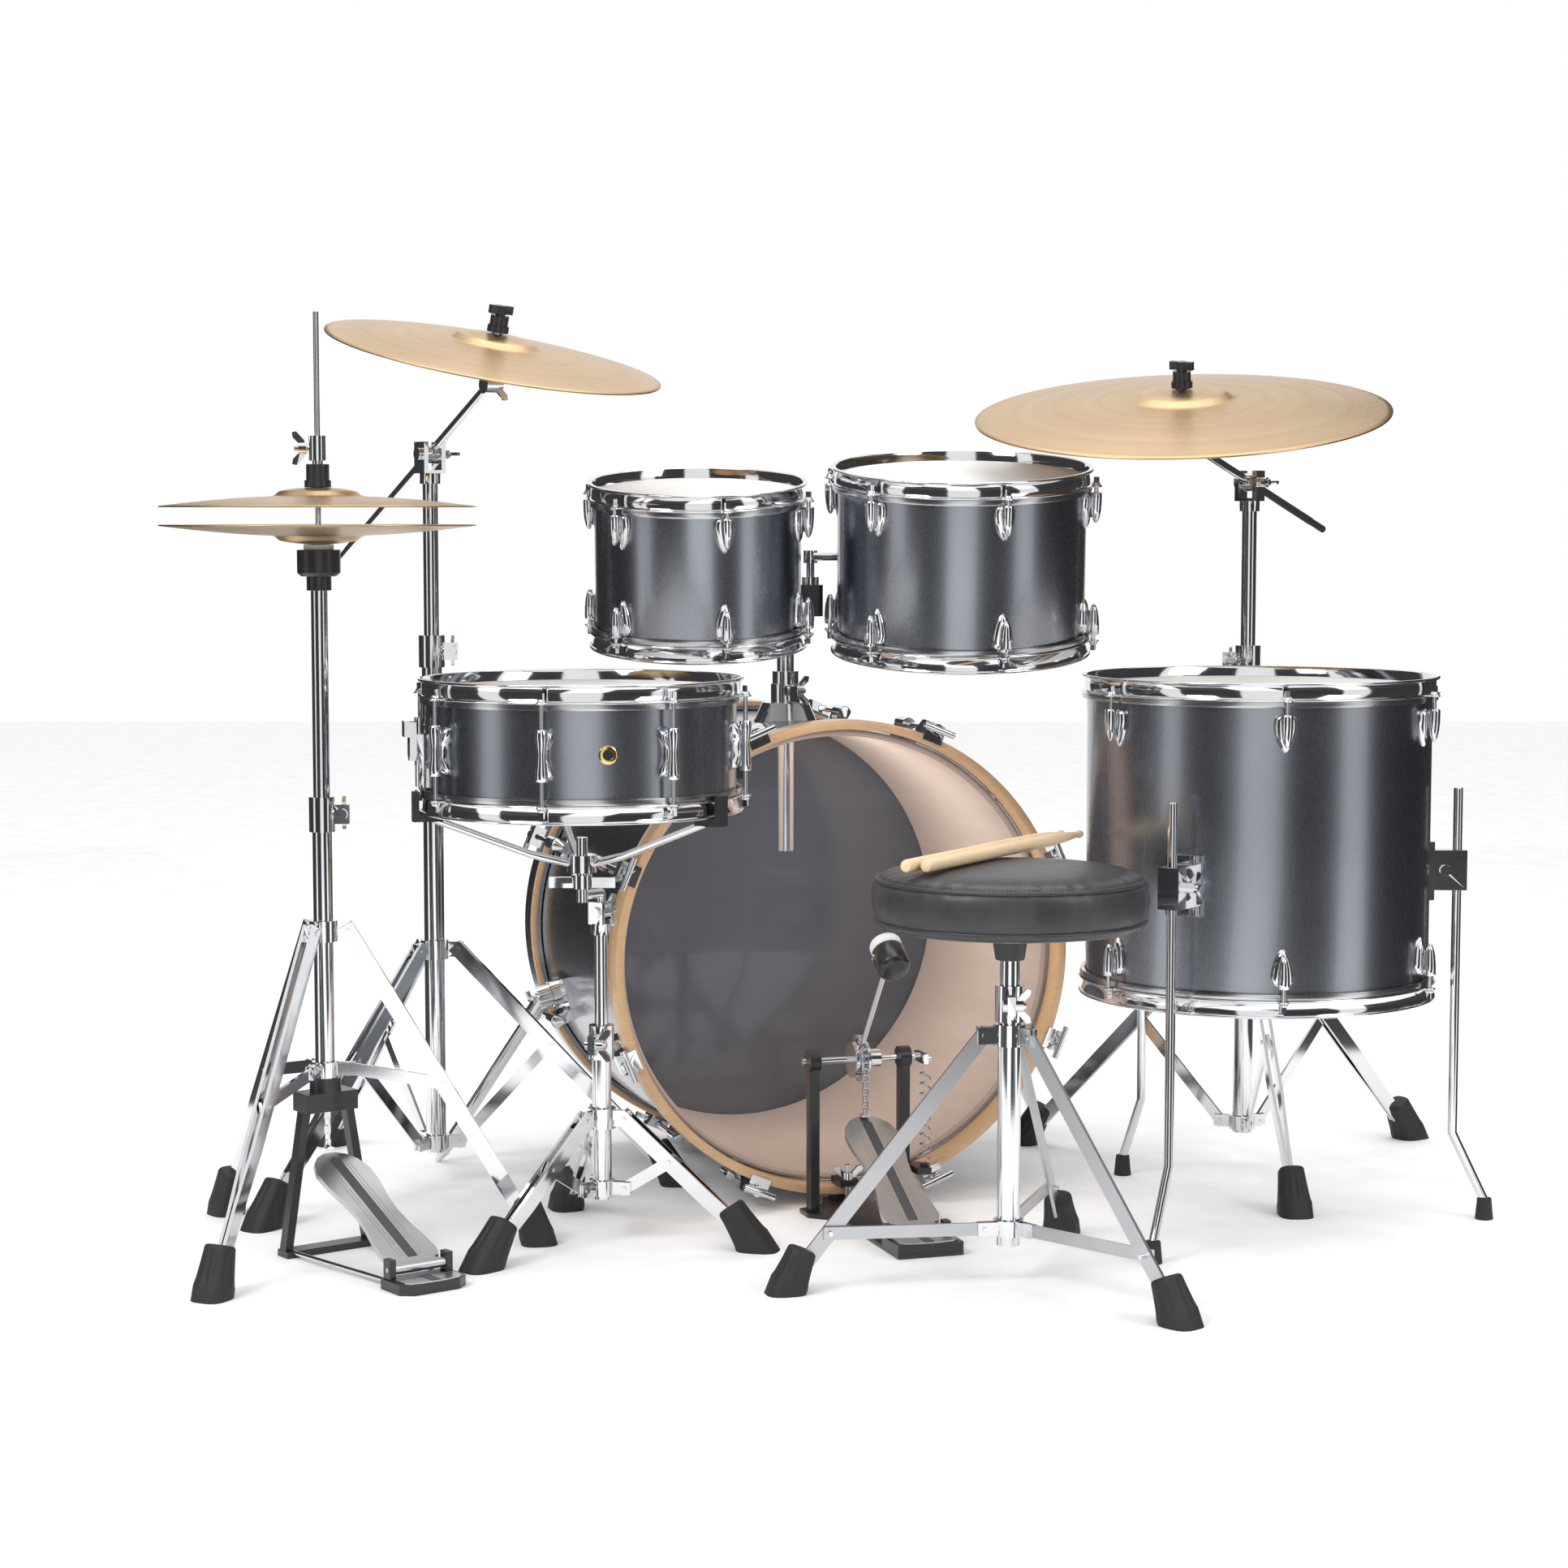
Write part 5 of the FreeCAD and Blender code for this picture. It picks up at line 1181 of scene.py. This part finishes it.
@dataclass
class BoomStand:
    """Tripod, tubes, tilter and boom of one suspended cymbal."""

    name: str
    radius: float
    lean: tuple[float, float]
    lift: float = 1.6 * MM
    thick: float = 1.8 * MM

    def build(self) -> None:
        """Make the cymbal and dress the stand."""
        roll, tilt = (math.radians(part) for part in self.lean)
        turn = Matrix.Rotation(roll, 4, "Y") @ Matrix.Rotation(tilt, 4, "X")
        normal = turn.to_3x3() @ UP
        rock = Vector(joint(self.name + "_cymbal_rock")["pos_m"])
        bow = 0.075 * self.radius
        top = rock + normal * (self.lift - bow - 11 * MM)
        Cymbal(self.name + "_cymbal", self.radius, 0.155 * self.radius + 20 * MM, 11 * MM, bow, self.thick,
               7 * MM, Matrix.Translation(top) @ turn).build()
        base = rock - normal * 2 * MM

        def choose(centre: Vector, size: Vector) -> int:
            """Felts grey, cup and top nut black, the rest plated.

            Args:
                centre: middle of the solid's box.
                size: size of the box.

            Returns:
                The finish number.
            """
            height = (centre - base).dot(normal)
            off = (centre - base - normal * height).length
            if off > 0.012 or max(size) > 0.1:
                return 0
            return 2 if height > 0.012 else 1

        CadCopy(self.name + "_boom", (CHROME, FELT_GREY, BLACK), choose, 0.0009).build()
        CadCopy(self.name + "_upper_tube", (CHROME,), bevel=0.001).build()
        CadCopy(self.name + "_tripod", (CHROME,), bevel=0.0007).build()


@dataclass
class HiHat:
    """Two facing cymbals on a pedal stand."""

    radius: float = 7 * INCH
    edge: float = 0.856
    gap: float = 21 * MM
    rise: float = 21 * MM
    bell_rise: float = 10 * MM
    thick: float = 1.4 * MM

    def build(self) -> None:
        """Make the cymbals and dress the stand."""
        at = middle("hihat_top_cymbal")
        axis = Vector((at.x, at.y, 0))
        shape = dict(radius=self.radius, bell=48 * MM, bell_rise=self.bell_rise,
                     bow=self.rise - self.bell_rise, thick=self.thick, hole=6.6 * MM, pitch=0.0016)
        Cymbal(node="hihat_top_cymbal", matrix=Matrix.Translation(axis + UP * self.edge), **shape).build()
        Cymbal(node="hihat_bottom_cymbal", flip=True,
               matrix=Matrix.Translation(axis + UP * (self.edge - self.gap - self.thick)), **shape).build()
        seat = self.edge - self.gap - self.rise - self.thick
        bell = self.edge + self.rise

        def cup(centre: Vector, size: Vector) -> int:
            """Grey for the felt, black for the seat cup, else plated.

            Args:
                centre: middle of the solid's box.
                size: size of the box.

            Returns:
                The finish number.
            """
            if abs(centre.z - seat + 0.003) < 0.002:
                return 1
            return 2 if centre.z > seat - 0.05 and size.x > 0.03 else 0

        def clutch(centre: Vector, size: Vector) -> int:
            """Grey for the felt, black for the cup above it, else plated.

            Args:
                centre: middle of the solid's box.
                size: size of the box.

            Returns:
                The finish number.
            """
            level = centre.z - bell
            if 0 < level < 0.0085 and size.x > 0.02:
                return 1
            return 2 if 0.012 < level < 0.025 and size.x > 0.02 else 0

        CadCopy("hihat_upper_tube", (CHROME, FELT_GREY, BLACK), cup, 0.0009).build()
        CadCopy("hihat_clutch", (CHROME, FELT_GREY, BLACK), clutch, 0.0009).build()
        CadCopy("hihat_pull_rod", (CHROME,), bevel=0.0004).build()
        CadCopy("hihat_tripod", (CHROME,), bevel=0.0007).build()
        CadCopy("hihat_pedal_frame", (BLACK, CHROME), slim_is_plated, 0.0014).build()
        Footboard("hihat_footboard", axis, -53.0, 0.206, 0.008, 0.022, 0.112,
                  (0.217, 0.247), 0.012).build()


def slim_is_plated(centre: Vector, size: Vector) -> int:
    """Long thin rods and small screws are plated; the castings are black."""
    return 1 if size.z < 0.0065 and max(size) > 0.1 else 0


# ---------------------------------------------------------------- pedals
@dataclass
class Footboard:
    """Long cast board hinged at the heel, with a dark grip strip and raised studs."""

    node: str
    origin: Vector
    heading: float
    heel: float
    toe: float
    heel_z: float
    toe_z: float
    heel_plate: tuple[float, float]
    heel_top: float

    def build(self) -> None:
        """Dress the board and lay its grip on top."""
        CadCopy(self.node, (ALLOY,), bevel=0.0016).build()
        turn = Matrix.Translation(self.origin) @ spin(self.heading)
        run, rise = self.heel - self.toe, self.toe_z - self.heel_z
        length = math.hypot(run, rise)
        local = stand(Vector((self.heel, 0, self.heel_z)), Vector((-run, 0, rise)), Vector((rise, 0, run)))
        strip = [(0.014, -0.0060), (0.94 * length, -0.0060), (0.97 * length, 0.0), (0.94 * length, 0.0060),
                 (0.014, 0.0060)]
        grip = prism(strip, 0.0028, 0.0035, 0)
        for side in (-1, 1):
            for lane in range(2):
                y = side * (0.0105 + 0.0042 * lane)
                rib = [(0.016, y - 0.0006), (0.9 * length, y - 0.0006), (0.9 * length, y + 0.0006),
                       (0.016, y + 0.0006)]
                grip.add(prism(rib, 0.0028, 0.0034, 1))
        Piece(self.node + "_grip", body_of(self.node), "board_alloy", (GREY_PRINT, ALLOY)).emit(
            Shape().add(grip, turn @ local))
        self.heel_cover(turn)

    def heel_cover(self, turn: Matrix) -> None:
        """Silver cover plate with its dark stripe on the heel block.

        Args:
            turn: place of the pedal's axes.
        """
        (near, far), top = self.heel_plate, self.heel_top
        wide = 0.036
        cover = [(near, -wide), (far - 0.008, -wide), (far - 0.002, -wide + 0.006), (far, -0.012),
                 (far, 0.012), (far - 0.002, wide - 0.006), (far - 0.008, wide), (near, wide)]
        made = prism(cover, top, top + 0.0016, 1)
        made.add(prism([(near + 0.001, -0.006), (far - 0.002, -0.006), (far - 0.002, 0.006),
                        (near + 0.001, 0.006)], top + 0.0012, top + 0.0022, 0))
        Piece(self.node + "_heel_cover", "kit", "board_alloy", (GREY_PRINT, ALLOY), (), 0.0004).emit(
            Shape().add(made, turn))


@dataclass
class BassPedal:
    """Chain-drive pedal clamped to the batter hoop."""

    drum: BassDrum
    axle: tuple[float, float] = (46 * MM, 188 * MM)
    sprocket: float = 26 * MM
    rod: float = 178 * MM
    lean: float = 38.0
    toe_z: float = 118 * MM

    def __post_init__(self) -> None:
        face = self.drum.batter.translation
        self.place = stand(Vector((face.x, face.y, 0)), -self.drum.axis, UP)

    def build(self) -> None:
        """Make the beater's head, the chain and sprocket, and dress the rest."""
        self.beater()
        self.drive()
        CadCopy("pedal_frame", (BLACK, CHROME), self.frame_finish, 0.0014).build()
        heading = math.degrees(math.atan2(-self.drum.axis.y, -self.drum.axis.x))
        Footboard("pedal_footboard", self.place.translation, heading, 0.250,
                  self.axle[0] + 0.020, 0.022, self.toe_z, (0.2605, 0.297), 0.016).build()
        spring = frame["nodes"]["pedal_spring"]
        for place in spring.material_slots:
            place.material = STEEL.material()

    def frame_finish(self, centre: Vector, size: Vector) -> int:
        """Clamp screw and wing nut are plated."""
        local = self.place.inverted() @ centre
        return 1 if abs(local.x - 0.008) < 0.004 and size.x < 0.045 and size.y < 0.045 else 0

    def beater(self) -> None:
        """Round head, black with a pale felt face, on a plated rod."""
        angle = math.radians(self.lean)
        lean = Vector((math.sin(angle), 0, math.cos(angle)))
        across = Vector((lean.z, 0, -lean.x))
        tip = Vector((self.axle[0], 0, self.axle[1])) + lean * self.rod

        def choose(centre: Vector, size: Vector) -> int:
            """Leave the CAD's own head out."""
            local = self.place.inverted() @ centre
            return -1 if (local - tip).length < 0.012 else 0

        CadCopy("pedal_beater", (CHROME,), choose, 0.0008).build()
        felt = lathe([(0.0165, 0.008), (0.0182, 0.010), (0.0192, 0.014), (0.0192, 0.0185), (0.0180, 0.0212),
                      (0.0150, 0.0222), (0.0080, 0.0226), (0, 0.0228)], 48, 1)
        core = lathe([(0, -0.0258), (0.0130, -0.0256), (0.0160, -0.0240), (0.0190, -0.0215),
                      (0.0200, -0.0185), (0.0200, 0.006), (0.0192, 0.008), (0.0165, 0.0081)], 48, 0)
        head = Shape().add(core.add(felt), stand(tip, lean, -across))
        screw = lathe([(0.0034, 0), (0.0034, 0.004), (0.0028, 0.0046), (0, 0.0046)], 16, 2)
        head.add(screw, Matrix.Translation(tip) @ Matrix.Rotation(math.radians(90), 4, "X")
                 @ Matrix.Translation(Vector((0, 0, 0.0182))))
        Piece("beater_head", "beater", "beater_black", (PLASTIC, FELT_WHITE, CHROME)).emit(
            Shape().add(head, self.place))

    def link(self, wide: bool, pitch: float) -> Shape:
        """One roller-chain link standing along Z, with its lower roller.

        Args:
            wide: an outer link, whose plates stand further apart.
            pitch: distance between rollers.

        Returns:
            The link.
        """
        gap = 0.0036 if wide else 0.0023
        outline = []
        for end in (-1, 1):
            for step in range(9):
                turn = math.pi * (step / 8 + (1 if end < 0 else 0))
                outline.append((0.0029 * math.cos(turn), end * pitch / 2 + 0.0029 * math.sin(turn)))
            outline.append((-end * 0.0021, 0.0))
        made = Shape()
        for side in (-1, 1):
            plate = Shape().add(prism(outline, -0.0005, 0.0005), Matrix.Rotation(math.radians(90), 4, "X"))
            made.add(plate, Matrix.Translation(Vector((0, side * gap, 0))))
        roller = lathe([(0, -0.0046), (0.0012, -0.0046), (0.0013, -0.0044), (0.0013, -0.0021),
                        (0.0021, -0.0020), (0.0021, 0.0020), (0.0013, 0.0021), (0.0013, 0.0044),
                        (0.0012, 0.0046), (0, 0.0046)], 14)
        turned = Matrix.Rotation(math.radians(90), 4, "X")
        return made.add(roller, Matrix.Translation(Vector((0, 0, -pitch / 2))) @ turned)

    def drive(self) -> None:
        """Chain from the board up to the sprocket and over its rear, and the sprocket's teeth."""
        axle_x, axle_z = self.axle
        reach = self.sprocket + 0.001
        low = self.toe_z + 0.007
        pitch = (axle_z - low) / 8
        straight = Shape()
        for number in range(8):
            at = Vector((axle_x + reach, 0, low + pitch * (number + 0.5)))
            straight.add(self.link(bool(number % 2), pitch), Matrix.Translation(at))
        straight.add(block((0.009, 0.011, 0.003), (axle_x + reach - 0.002, 0, low - 0.0022)))
        Piece("pedal_chain_look", "pedal_chain", "beater_black", (STEEL,), ["pedal_chain"], 0.0002).emit(
            Shape().add(straight, self.place))
        wrapped = Shape()
        step = 2 * math.asin(pitch / 2 / reach)
        hub = Matrix.Translation(Vector((axle_x, 0, axle_z)))
        for number in range(7):
            turn = Matrix.Rotation(-(number + 0.5) * step, 4, "Y")
            out = Matrix.Translation(Vector((reach * math.cos(step / 2), 0, 0)))
            wrapped.add(self.link(bool(number % 2), pitch), hub @ turn @ out)
        teeth = int(round(2 * math.pi / step))
        ring = []
        for tooth in range(teeth * 6):
            angle = 2 * math.pi * tooth / (teeth * 6)
            radius = (0.0236, 0.0240, 0.0262, 0.0276, 0.0262, 0.0240)[tooth % 6]
            ring.append((radius * math.cos(angle), radius * math.sin(angle)))
        wheel = prism(ring, -0.0015, 0.0015)
        for side in (-1, 1):
            cheek = lathe([(0, -0.0012), (0.0215, -0.0012), (0.0222, -0.0006), (0.0222, 0.0006),
                           (0.0215, 0.0012), (0, 0.0012)], 40)
            wheel.add(cheek, Matrix.Translation(Vector((0, 0, side * 0.0088))))
        wrapped.add(wheel, hub @ Matrix.Rotation(math.radians(90), 4, "X"))
        Piece("sprocket_and_chain_wrap", "beater", "beater_black", (STEEL,), (), 0.0002).emit(
            Shape().add(wrapped, self.place))


# ---------------------------------------------------------------- throne, sticks and stands
@dataclass
class Throne:
    """Round padded seat on a single-braced tripod."""

    radius: float = 6 * INCH
    thick: float = 68 * MM

    def build(self) -> None:
        """Make the seat's cover, its piping and base, and dress the stand."""
        low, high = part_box("throne_seat")
        centre = (Vector(low) + Vector(high)) / 2
        base = Vector((centre.x, centre.y, low[2]))
        cover = Piece("seat_cover", "throne_seat", "seat_vinyl", (VINYL,), ["throne_seat"], crease=80).emit(
            Shape().add(self.cover(), Matrix.Translation(base)))
        smooth = cover.modifiers.new("soft", "SUBSURF")
        smooth.levels = smooth.render_levels = 1
        trim = Shape()
        for radius, height in ((self.radius - 0.0058, self.thick - 0.0150), (self.radius - 0.0045, 0.0085)):
            path = [Vector((radius * math.cos(turn), radius * math.sin(turn), height))
                    for turn in (2 * math.pi * step / 144 for step in range(144))]
            trim.add(sweep(path, 0.0024, 10, closed=True))
        trim.add(lathe([(0, 0.0006), (self.radius - 0.012, 0.0006), (self.radius - 0.009, 0.0016),
                        (self.radius - 0.007, 0.0055)], 96, 1))
        for lane in (-1, 1):
            trim.add(self.stitches(lane))
        Piece("seat_piping", "throne_seat", "seat_vinyl", (VINYL, PLASTIC, GREY_PRINT)).emit(
            Shape().add(trim, Matrix.Translation(base)))
        CadCopy("throne_post", (CHROME, BLACK), lambda middle_of, size: int(size.x > 0.1), 0.0012).build()
        CadCopy("throne_tripod", (CHROME, ALLOY), self.bars, 0.0009).build()

    def bars(self, centre: Vector, size: Vector) -> int:
        """Legs and braces are satin bars; the collars and pins are polished."""
        return 1 if max(size) > 0.09 and max(size.x, size.y) > 0.05 else 0

    def stitches(self, lane: int) -> Shape:
        """Row of stitches beside the upper piping.

        Args:
            lane: 1 above the piping, -1 below it.

        Returns:
            The stitches.
        """
        made = Shape()
        radius = self.radius - (0.0098 if lane > 0 else 0.0026)
        height = self.thick - (0.0101 if lane > 0 else 0.0205)
        count = 190
        for step in range(count):
            turns = [2 * math.pi * (step + share) / count for share in (0.18, 0.82)]
            path = [Vector((radius * math.cos(turn), radius * math.sin(turn), height)) for turn in turns]
            made.add(sweep(path, 0.00045, 6, 2))
        return made

    def cover(self) -> Shape:
        """Side band with a slight swell and a crowned top, both gathered where they are sewn."""
        r, t = self.radius, self.thick
        rows = [(r - 0.014, 0.0018), (r - 0.0065, 0.0040), (r - 0.0052, 0.0085), (r - 0.0026, 0.0140),
                (r - 0.0004, 0.0240), (r, 0.034), (r - 0.0008, 0.044), (r - 0.0034, t - 0.0165),
                (r - 0.0062, t - 0.0148), (r - 0.0085, t - 0.0115), (r - 0.0150, t - 0.0070),
                (r - 0.026, t - 0.0036), (r - 0.045, t - 0.0014), (r - 0.075, t - 0.0003), (r - 0.11, t),
                (0.0, t)]
        segments = 192
        made = lathe(rows, segments)
        for point in made.points:
            turn = math.atan2(point.y, point.x)
            radius = math.hypot(point.x, point.y)
            near = math.exp(-((radius - (r - 0.012)) / 0.009) ** 2)
            pucker = 0.00035 * math.sin(41 * turn + 1.3 * math.sin(5 * turn)) + 0.0003 * math.sin(29 * turn)
            sag = 0.0007 * math.sin(3 * turn + 0.4) * (radius / r) ** 2
            if point.z > t - 0.02:
                point.z += near * pucker * 2.0 - 0.0012 + min(0.0, sag)
            elif radius > 0.05:
                scale = 1 + (0.6 * pucker + 0.0002 * math.sin(2 * turn)) / radius
                point.x *= scale
                point.y *= scale
        return made


@dataclass
class Sticks:
    """Pair of hickory sticks with turned tips."""

    length: float = 0.400
    radius: float = 7.2 * MM
    apart: float = 9 * MM
    slide: float = 12 * MM

    def build(self) -> None:
        """Make both sticks side by side."""
        line = Vector((0.5, 0.866, 0)).normalized()
        across = Vector((0.866, -0.5, 0)).normalized()
        centre = middle("drumsticks") - line * self.slide / 2
        r, length = self.radius, self.length
        outline = [(0, 0), (0.0042, 0.0002), (0.0060, 0.0012), (0.0070, 0.0036), (r, 0.0065), (r, 0.12),
                   (r, length - 0.092), (r * 0.93, length - 0.070), (r * 0.76, length - 0.044),
                   (0.0040, length - 0.024), (0.0031, length - 0.0155), (0.0030, length - 0.0132),
                   (0.0038, length - 0.0112), (0.0046, length - 0.0088), (0.0046, length - 0.0064),
                   (0.0039, length - 0.0034), (0.0022, length - 0.0008), (0, length)]
        pair = Shape()
        for side in (-1, 1):
            start = centre + across * self.apart * side - line * length / 2
            start += line * (self.slide if side > 0 else 0)
            pair.add(lathe(outline, 40), stand(start, UP, line))
        Piece("drumstick_pair", "sticks", "hickory", (HICKORY,), ["drumsticks"]).emit(pair)


@dataclass
class Boots:
    """Flared rubber boots on the tripod legs, fluted along the leg and cut flat on the floor."""

    top: float = 15.0 * MM
    bottom: float = 20.5 * MM
    flutes: int = 12
    groove: float = 1.5 * MM
    lift: float = 12 * MM

    def build(self) -> None:
        """Make one boot for each CAD boot, along the same leg."""
        work = bmesh.new()
        work.from_mesh(frame["nodes"]["rubber_feet"].data)
        bmesh.ops.remove_doubles(work, verts=work.verts, dist=2e-6)
        made = Shape()
        for solid in CadCopy.solids(work):
            places = {tuple(vert.co) for face in solid for vert in face.verts}
            high = max(place[2] for place in places)
            under = [Vector(place) for place in places if place[2] < 0.0006]
            upper = [Vector(place) for place in places if place[2] > 0.8 * high]
            foot = self.middle(under) + UP * self.lift
            head = self.middle(upper)
            made.add(self.boot(foot, head))
        work.free()
        Piece("fluted_boots", body_of("rubber_feet"), "foot_rubber", (RUBBER,), ["rubber_feet"],
              crease=50).emit(made)

    @staticmethod
    def middle(points: Sequence[Vector]) -> Vector:
        """Middle of the box of some points."""
        return Vector((min(point[axis] for point in points) + max(point[axis] for point in points)) / 2
                      for axis in range(3))

    def boot(self, foot: Vector, head: Vector) -> Shape:
        """Boot round the line from foot to head.

        Args:
            foot: point near the floor.
            head: middle of the boot's upper end.

        Returns:
            The boot, cut flat at the floor.
        """
        along = (head - foot).normalized()
        side = UP.cross(along).normalized()
        over = along.cross(side)
        length = (head - foot).length + 0.002
        steps = [step for step in (-0.034, -0.016, 0.0, 0.006, 0.012, 0.02, 0.03, 0.04, 0.048)
                 if step < length - 0.004]
        steps += [length - 0.003, length - 0.0008, length]
        count = self.flutes * 6
        made = Shape()
        for step in steps:
            share = min(1.0, max(0.0, step / length))
            radius = self.bottom + (self.top - self.bottom) * share ** 0.75
            if step > length - 0.002:
                radius -= 0.0012 if step < length else 0.0032
            depth = self.groove * min(1.0, max(0.0, (length - 0.010 - step) / 0.008)) * (step > 0.001)
            for number in range(count):
                turn = 2 * math.pi * number / count
                square = (abs(math.cos(turn)) ** 3 + abs(math.sin(turn)) ** 3) ** (-1 / 3)
                flute = max(0.0, math.cos(self.flutes * turn)) ** 0.7
                reach = radius * square - depth * flute
                point = foot + along * step + (side * math.cos(turn) + over * math.sin(turn)) * reach
                if point.z < 0:
                    point += along * (-point.z / along.z)
                made.points.append(point)
        for row in range(len(steps) - 1):
            low, high = row * count, (row + 1) * count
            for number in range(count):
                after = (number + 1) % count
                made.face(low + number, low + after, high + after, high + number)
        made.face(*reversed(range(count)))
        made.face(*range((len(steps) - 1) * count, len(steps) * count))
        return made


def dress_stands() -> None:
    """Dress the parts whose shape is the CAD's own, with eased edges."""

    def post(centre: Vector, size: Vector) -> int:
        """Black block, plated tube and screw."""
        return 0 if size.x > 0.08 else 1

    def boot(centre: Vector, size: Vector) -> int:
        """Rubber tip on a plated rod."""
        return 1 if size.z < 0.04 else 0

    def pads(centre: Vector, size: Vector) -> int:
        """Rubber pads on the basket's arms."""
        return 1 if centre.z > 0.49 and size.z < 0.06 else 0

    def strainer(centre: Vector, size: Vector) -> int:
        """Wires and their plates in plain steel."""
        return 1 if size.z < 0.004 else 0

    CadCopy("tom_post", (BLACK, CHROME), post, 0.0014).build()
    for arm in ("small", "large"):
        CadCopy("tom_arm_" + arm, (CHROME,), bevel=0.001).build()
    for leg in ("front", "right", "rear"):
        CadCopy("floor_tom_leg_" + leg, (CHROME, RUBBER), boot, 0.0012).build()
    CadCopy("snare_stand_post", (CHROME,), bevel=0.001).build()
    CadCopy("snare_basket", (CHROME, RUBBER), pads, 0.0014).build()
    CadCopy("snare_tripod", (CHROME,), bevel=0.0007).build()
    CadCopy("snare_strainer", (CHROME, STEEL), strainer, 0.0009).build()
    CadCopy("snare_throw_lever", (CHROME,), bevel=0.001).build()
    Boots().build()


# ---------------------------------------------------------------- room
@dataclass
class Studio:
    """Pale floor, soft lights and the camera."""

    distance: float = 3.842
    height: float = 0.85
    pitch: float = 4.924
    lens: float = 72.67
    card_radius: float = 4.6
    card_height: float = 4.2
    card_floor: float = 0.003
    card_inner: float = 0.3
    card_spans: tuple[tuple[int, int], ...] = ((-158, -72), (-56, -14), (14, 50), (68, 158))

    def build(self) -> None:
        """Make the room."""
        scene = bpy.context.scene
        floor_mesh = bpy.data.meshes.new("floor")
        floor_mesh.from_pydata([(-9, -9, 0), (9, -9, 0), (9, 9, 0), (-9, 9, 0)], [], [(0, 1, 2, 3)])
        floor = bpy.data.objects.new("floor", floor_mesh)
        pale = Painted("floor_paint", (0.84, 0.84, 0.84), 0.95, 60.0, 0.01)
        floor_mesh.materials.append(pale.material())
        scene.collection.objects.link(floor)
        floor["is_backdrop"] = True
        world = bpy.data.worlds.new("room")
        world.use_nodes = True
        world.node_tree.nodes["Background"].inputs[0].default_value = (1.0, 1.0, 1.0, 1)
        world.node_tree.nodes["Background"].inputs[1].default_value = 1.0
        scene.world = world
        scene.view_settings.view_transform = "Standard"
        self.light("key", (-2.4, -2.6, 3.2), 1.4, 70)
        self.light("fill", (2.8, -2.2, 2.4), 1.4, 30)
        self.light("top", (0.2, 0.4, 3.6), 2.8, 40)
        self.glow()
        self.cards()
        low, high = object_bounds()
        camera = bpy.data.cameras.new("camera")
        camera.lens, camera.sensor_width = self.lens, 36.0
        camera.dof.use_dof = False
        eye = bpy.data.objects.new("camera", camera)
        eye.location = (-0.0847, 0.0301 - self.distance, self.height)
        eye.rotation_euler = (math.radians(90 - self.pitch), 0, 0)
        scene.collection.objects.link(eye)
        scene.camera = eye
        LOG.info("object from %s to %s", tuple(low), tuple(high))

    def glow(self) -> None:
        """Small soft lamp inside the bass drum, as light that comes through the heads."""
        data = bpy.data.lights.new("inside", "POINT")
        data.energy, data.shadow_soft_size = 2.2, 0.08
        lamp = bpy.data.objects.new("inside", data)
        lamp.location = middle("bass_shell") + Vector((0.03, -0.05, 0.1))
        lamp.visible_camera = False
        lamp.visible_glossy = False
        bpy.context.scene.collection.objects.link(lamp)

    def cards(self) -> None:
        mesh = bpy.data.meshes.new("dark_cards")
        points, faces = [], []
        steps = 8
        for start, end in self.card_spans:
            base = len(points)
            for step in range(steps + 1):
                turn = math.radians(start + (end - start) * step / steps)
                x, y = self.card_radius * math.sin(turn), -self.card_radius * math.cos(turn)
                points += [(x * self.card_inner, y * self.card_inner, self.card_floor),
                           (x, y, self.card_floor), (x, y, self.card_height)]
            faces += [(base + 3 * step + part, base + 3 * step + part + 3, base + 3 * step + part + 4,
                       base + 3 * step + part + 1) for step in range(steps) for part in (0, 1)]
        mesh.from_pydata(points, [], faces)
        mesh.materials.append(Painted("card_black", (0.02, 0.02, 0.022), 0.8, 40.0, 0.02).material())
        cards = bpy.data.objects.new("dark_cards", mesh)
        cards.visible_camera = False
        cards.visible_shadow = False
        cards.visible_diffuse = False
        bpy.context.scene.collection.objects.link(cards)
        cards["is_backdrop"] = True

    def light(self, name: str, place: Sequence[float], size: float, power: float) -> None:
        """Args:
            name: name of the lamp.
            place: its centre.
            size: length of its side.
            power: its strength in watts.
        """
        data = bpy.data.lights.new(name, "AREA")
        data.energy, data.size = power, size
        lamp = bpy.data.objects.new(name, data)
        lamp.location = place
        lamp.rotation_euler = (Vector((0, 0, 0.5)) - Vector(place)).to_track_quat("-Z", "Y").to_euler()
        bpy.context.scene.collection.objects.link(lamp)


def note_size(key: str, sizes: dict) -> None:
    """Keep the object's box under a key."""
    sizes[key] = [list(corner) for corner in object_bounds()]


def main() -> None:
    logging.basicConfig(level=logging.INFO, format="%(message)s")
    sizes: dict[str, list] = {}
    note_size("cad", sizes)
    bass = BassDrum()
    bass.build()
    drums = [
        Drum("tom_small", "small_tom", 5 * INCH, 7 * INCH, -74, 6, tilt=8.0, badge=False),
        Drum("tom_large", "large_tom", 6 * INCH, 8 * INCH, -74, 6, tilt=8.0, badge=False),
        Drum("floor_tom", "kit", 8 * INCH, 14 * INCH, -90, 6, lug_drop=0.030, badge=False),
        Drum("snare", "snare", 7 * INCH, 5 * INCH, -99.5, 8, LugStyle.WAISTED, plain=True),
    ]
    for drum in drums:
        drum.build()
    for drum in drums[:3]:
        drum.bracketry()
    HiHat().build()
    BoomStand("crash", 8 * INCH, (10.6, 9.7)).build()
    BoomStand("ride", 10 * INCH, (-3.0, 13.0)).build()
    BassPedal(bass).build()
    Throne().build()
    Sticks().build()
    dress_stands()
    Studio().build()
    note_size("visual", sizes)


if __name__ == "__main__":
    main()
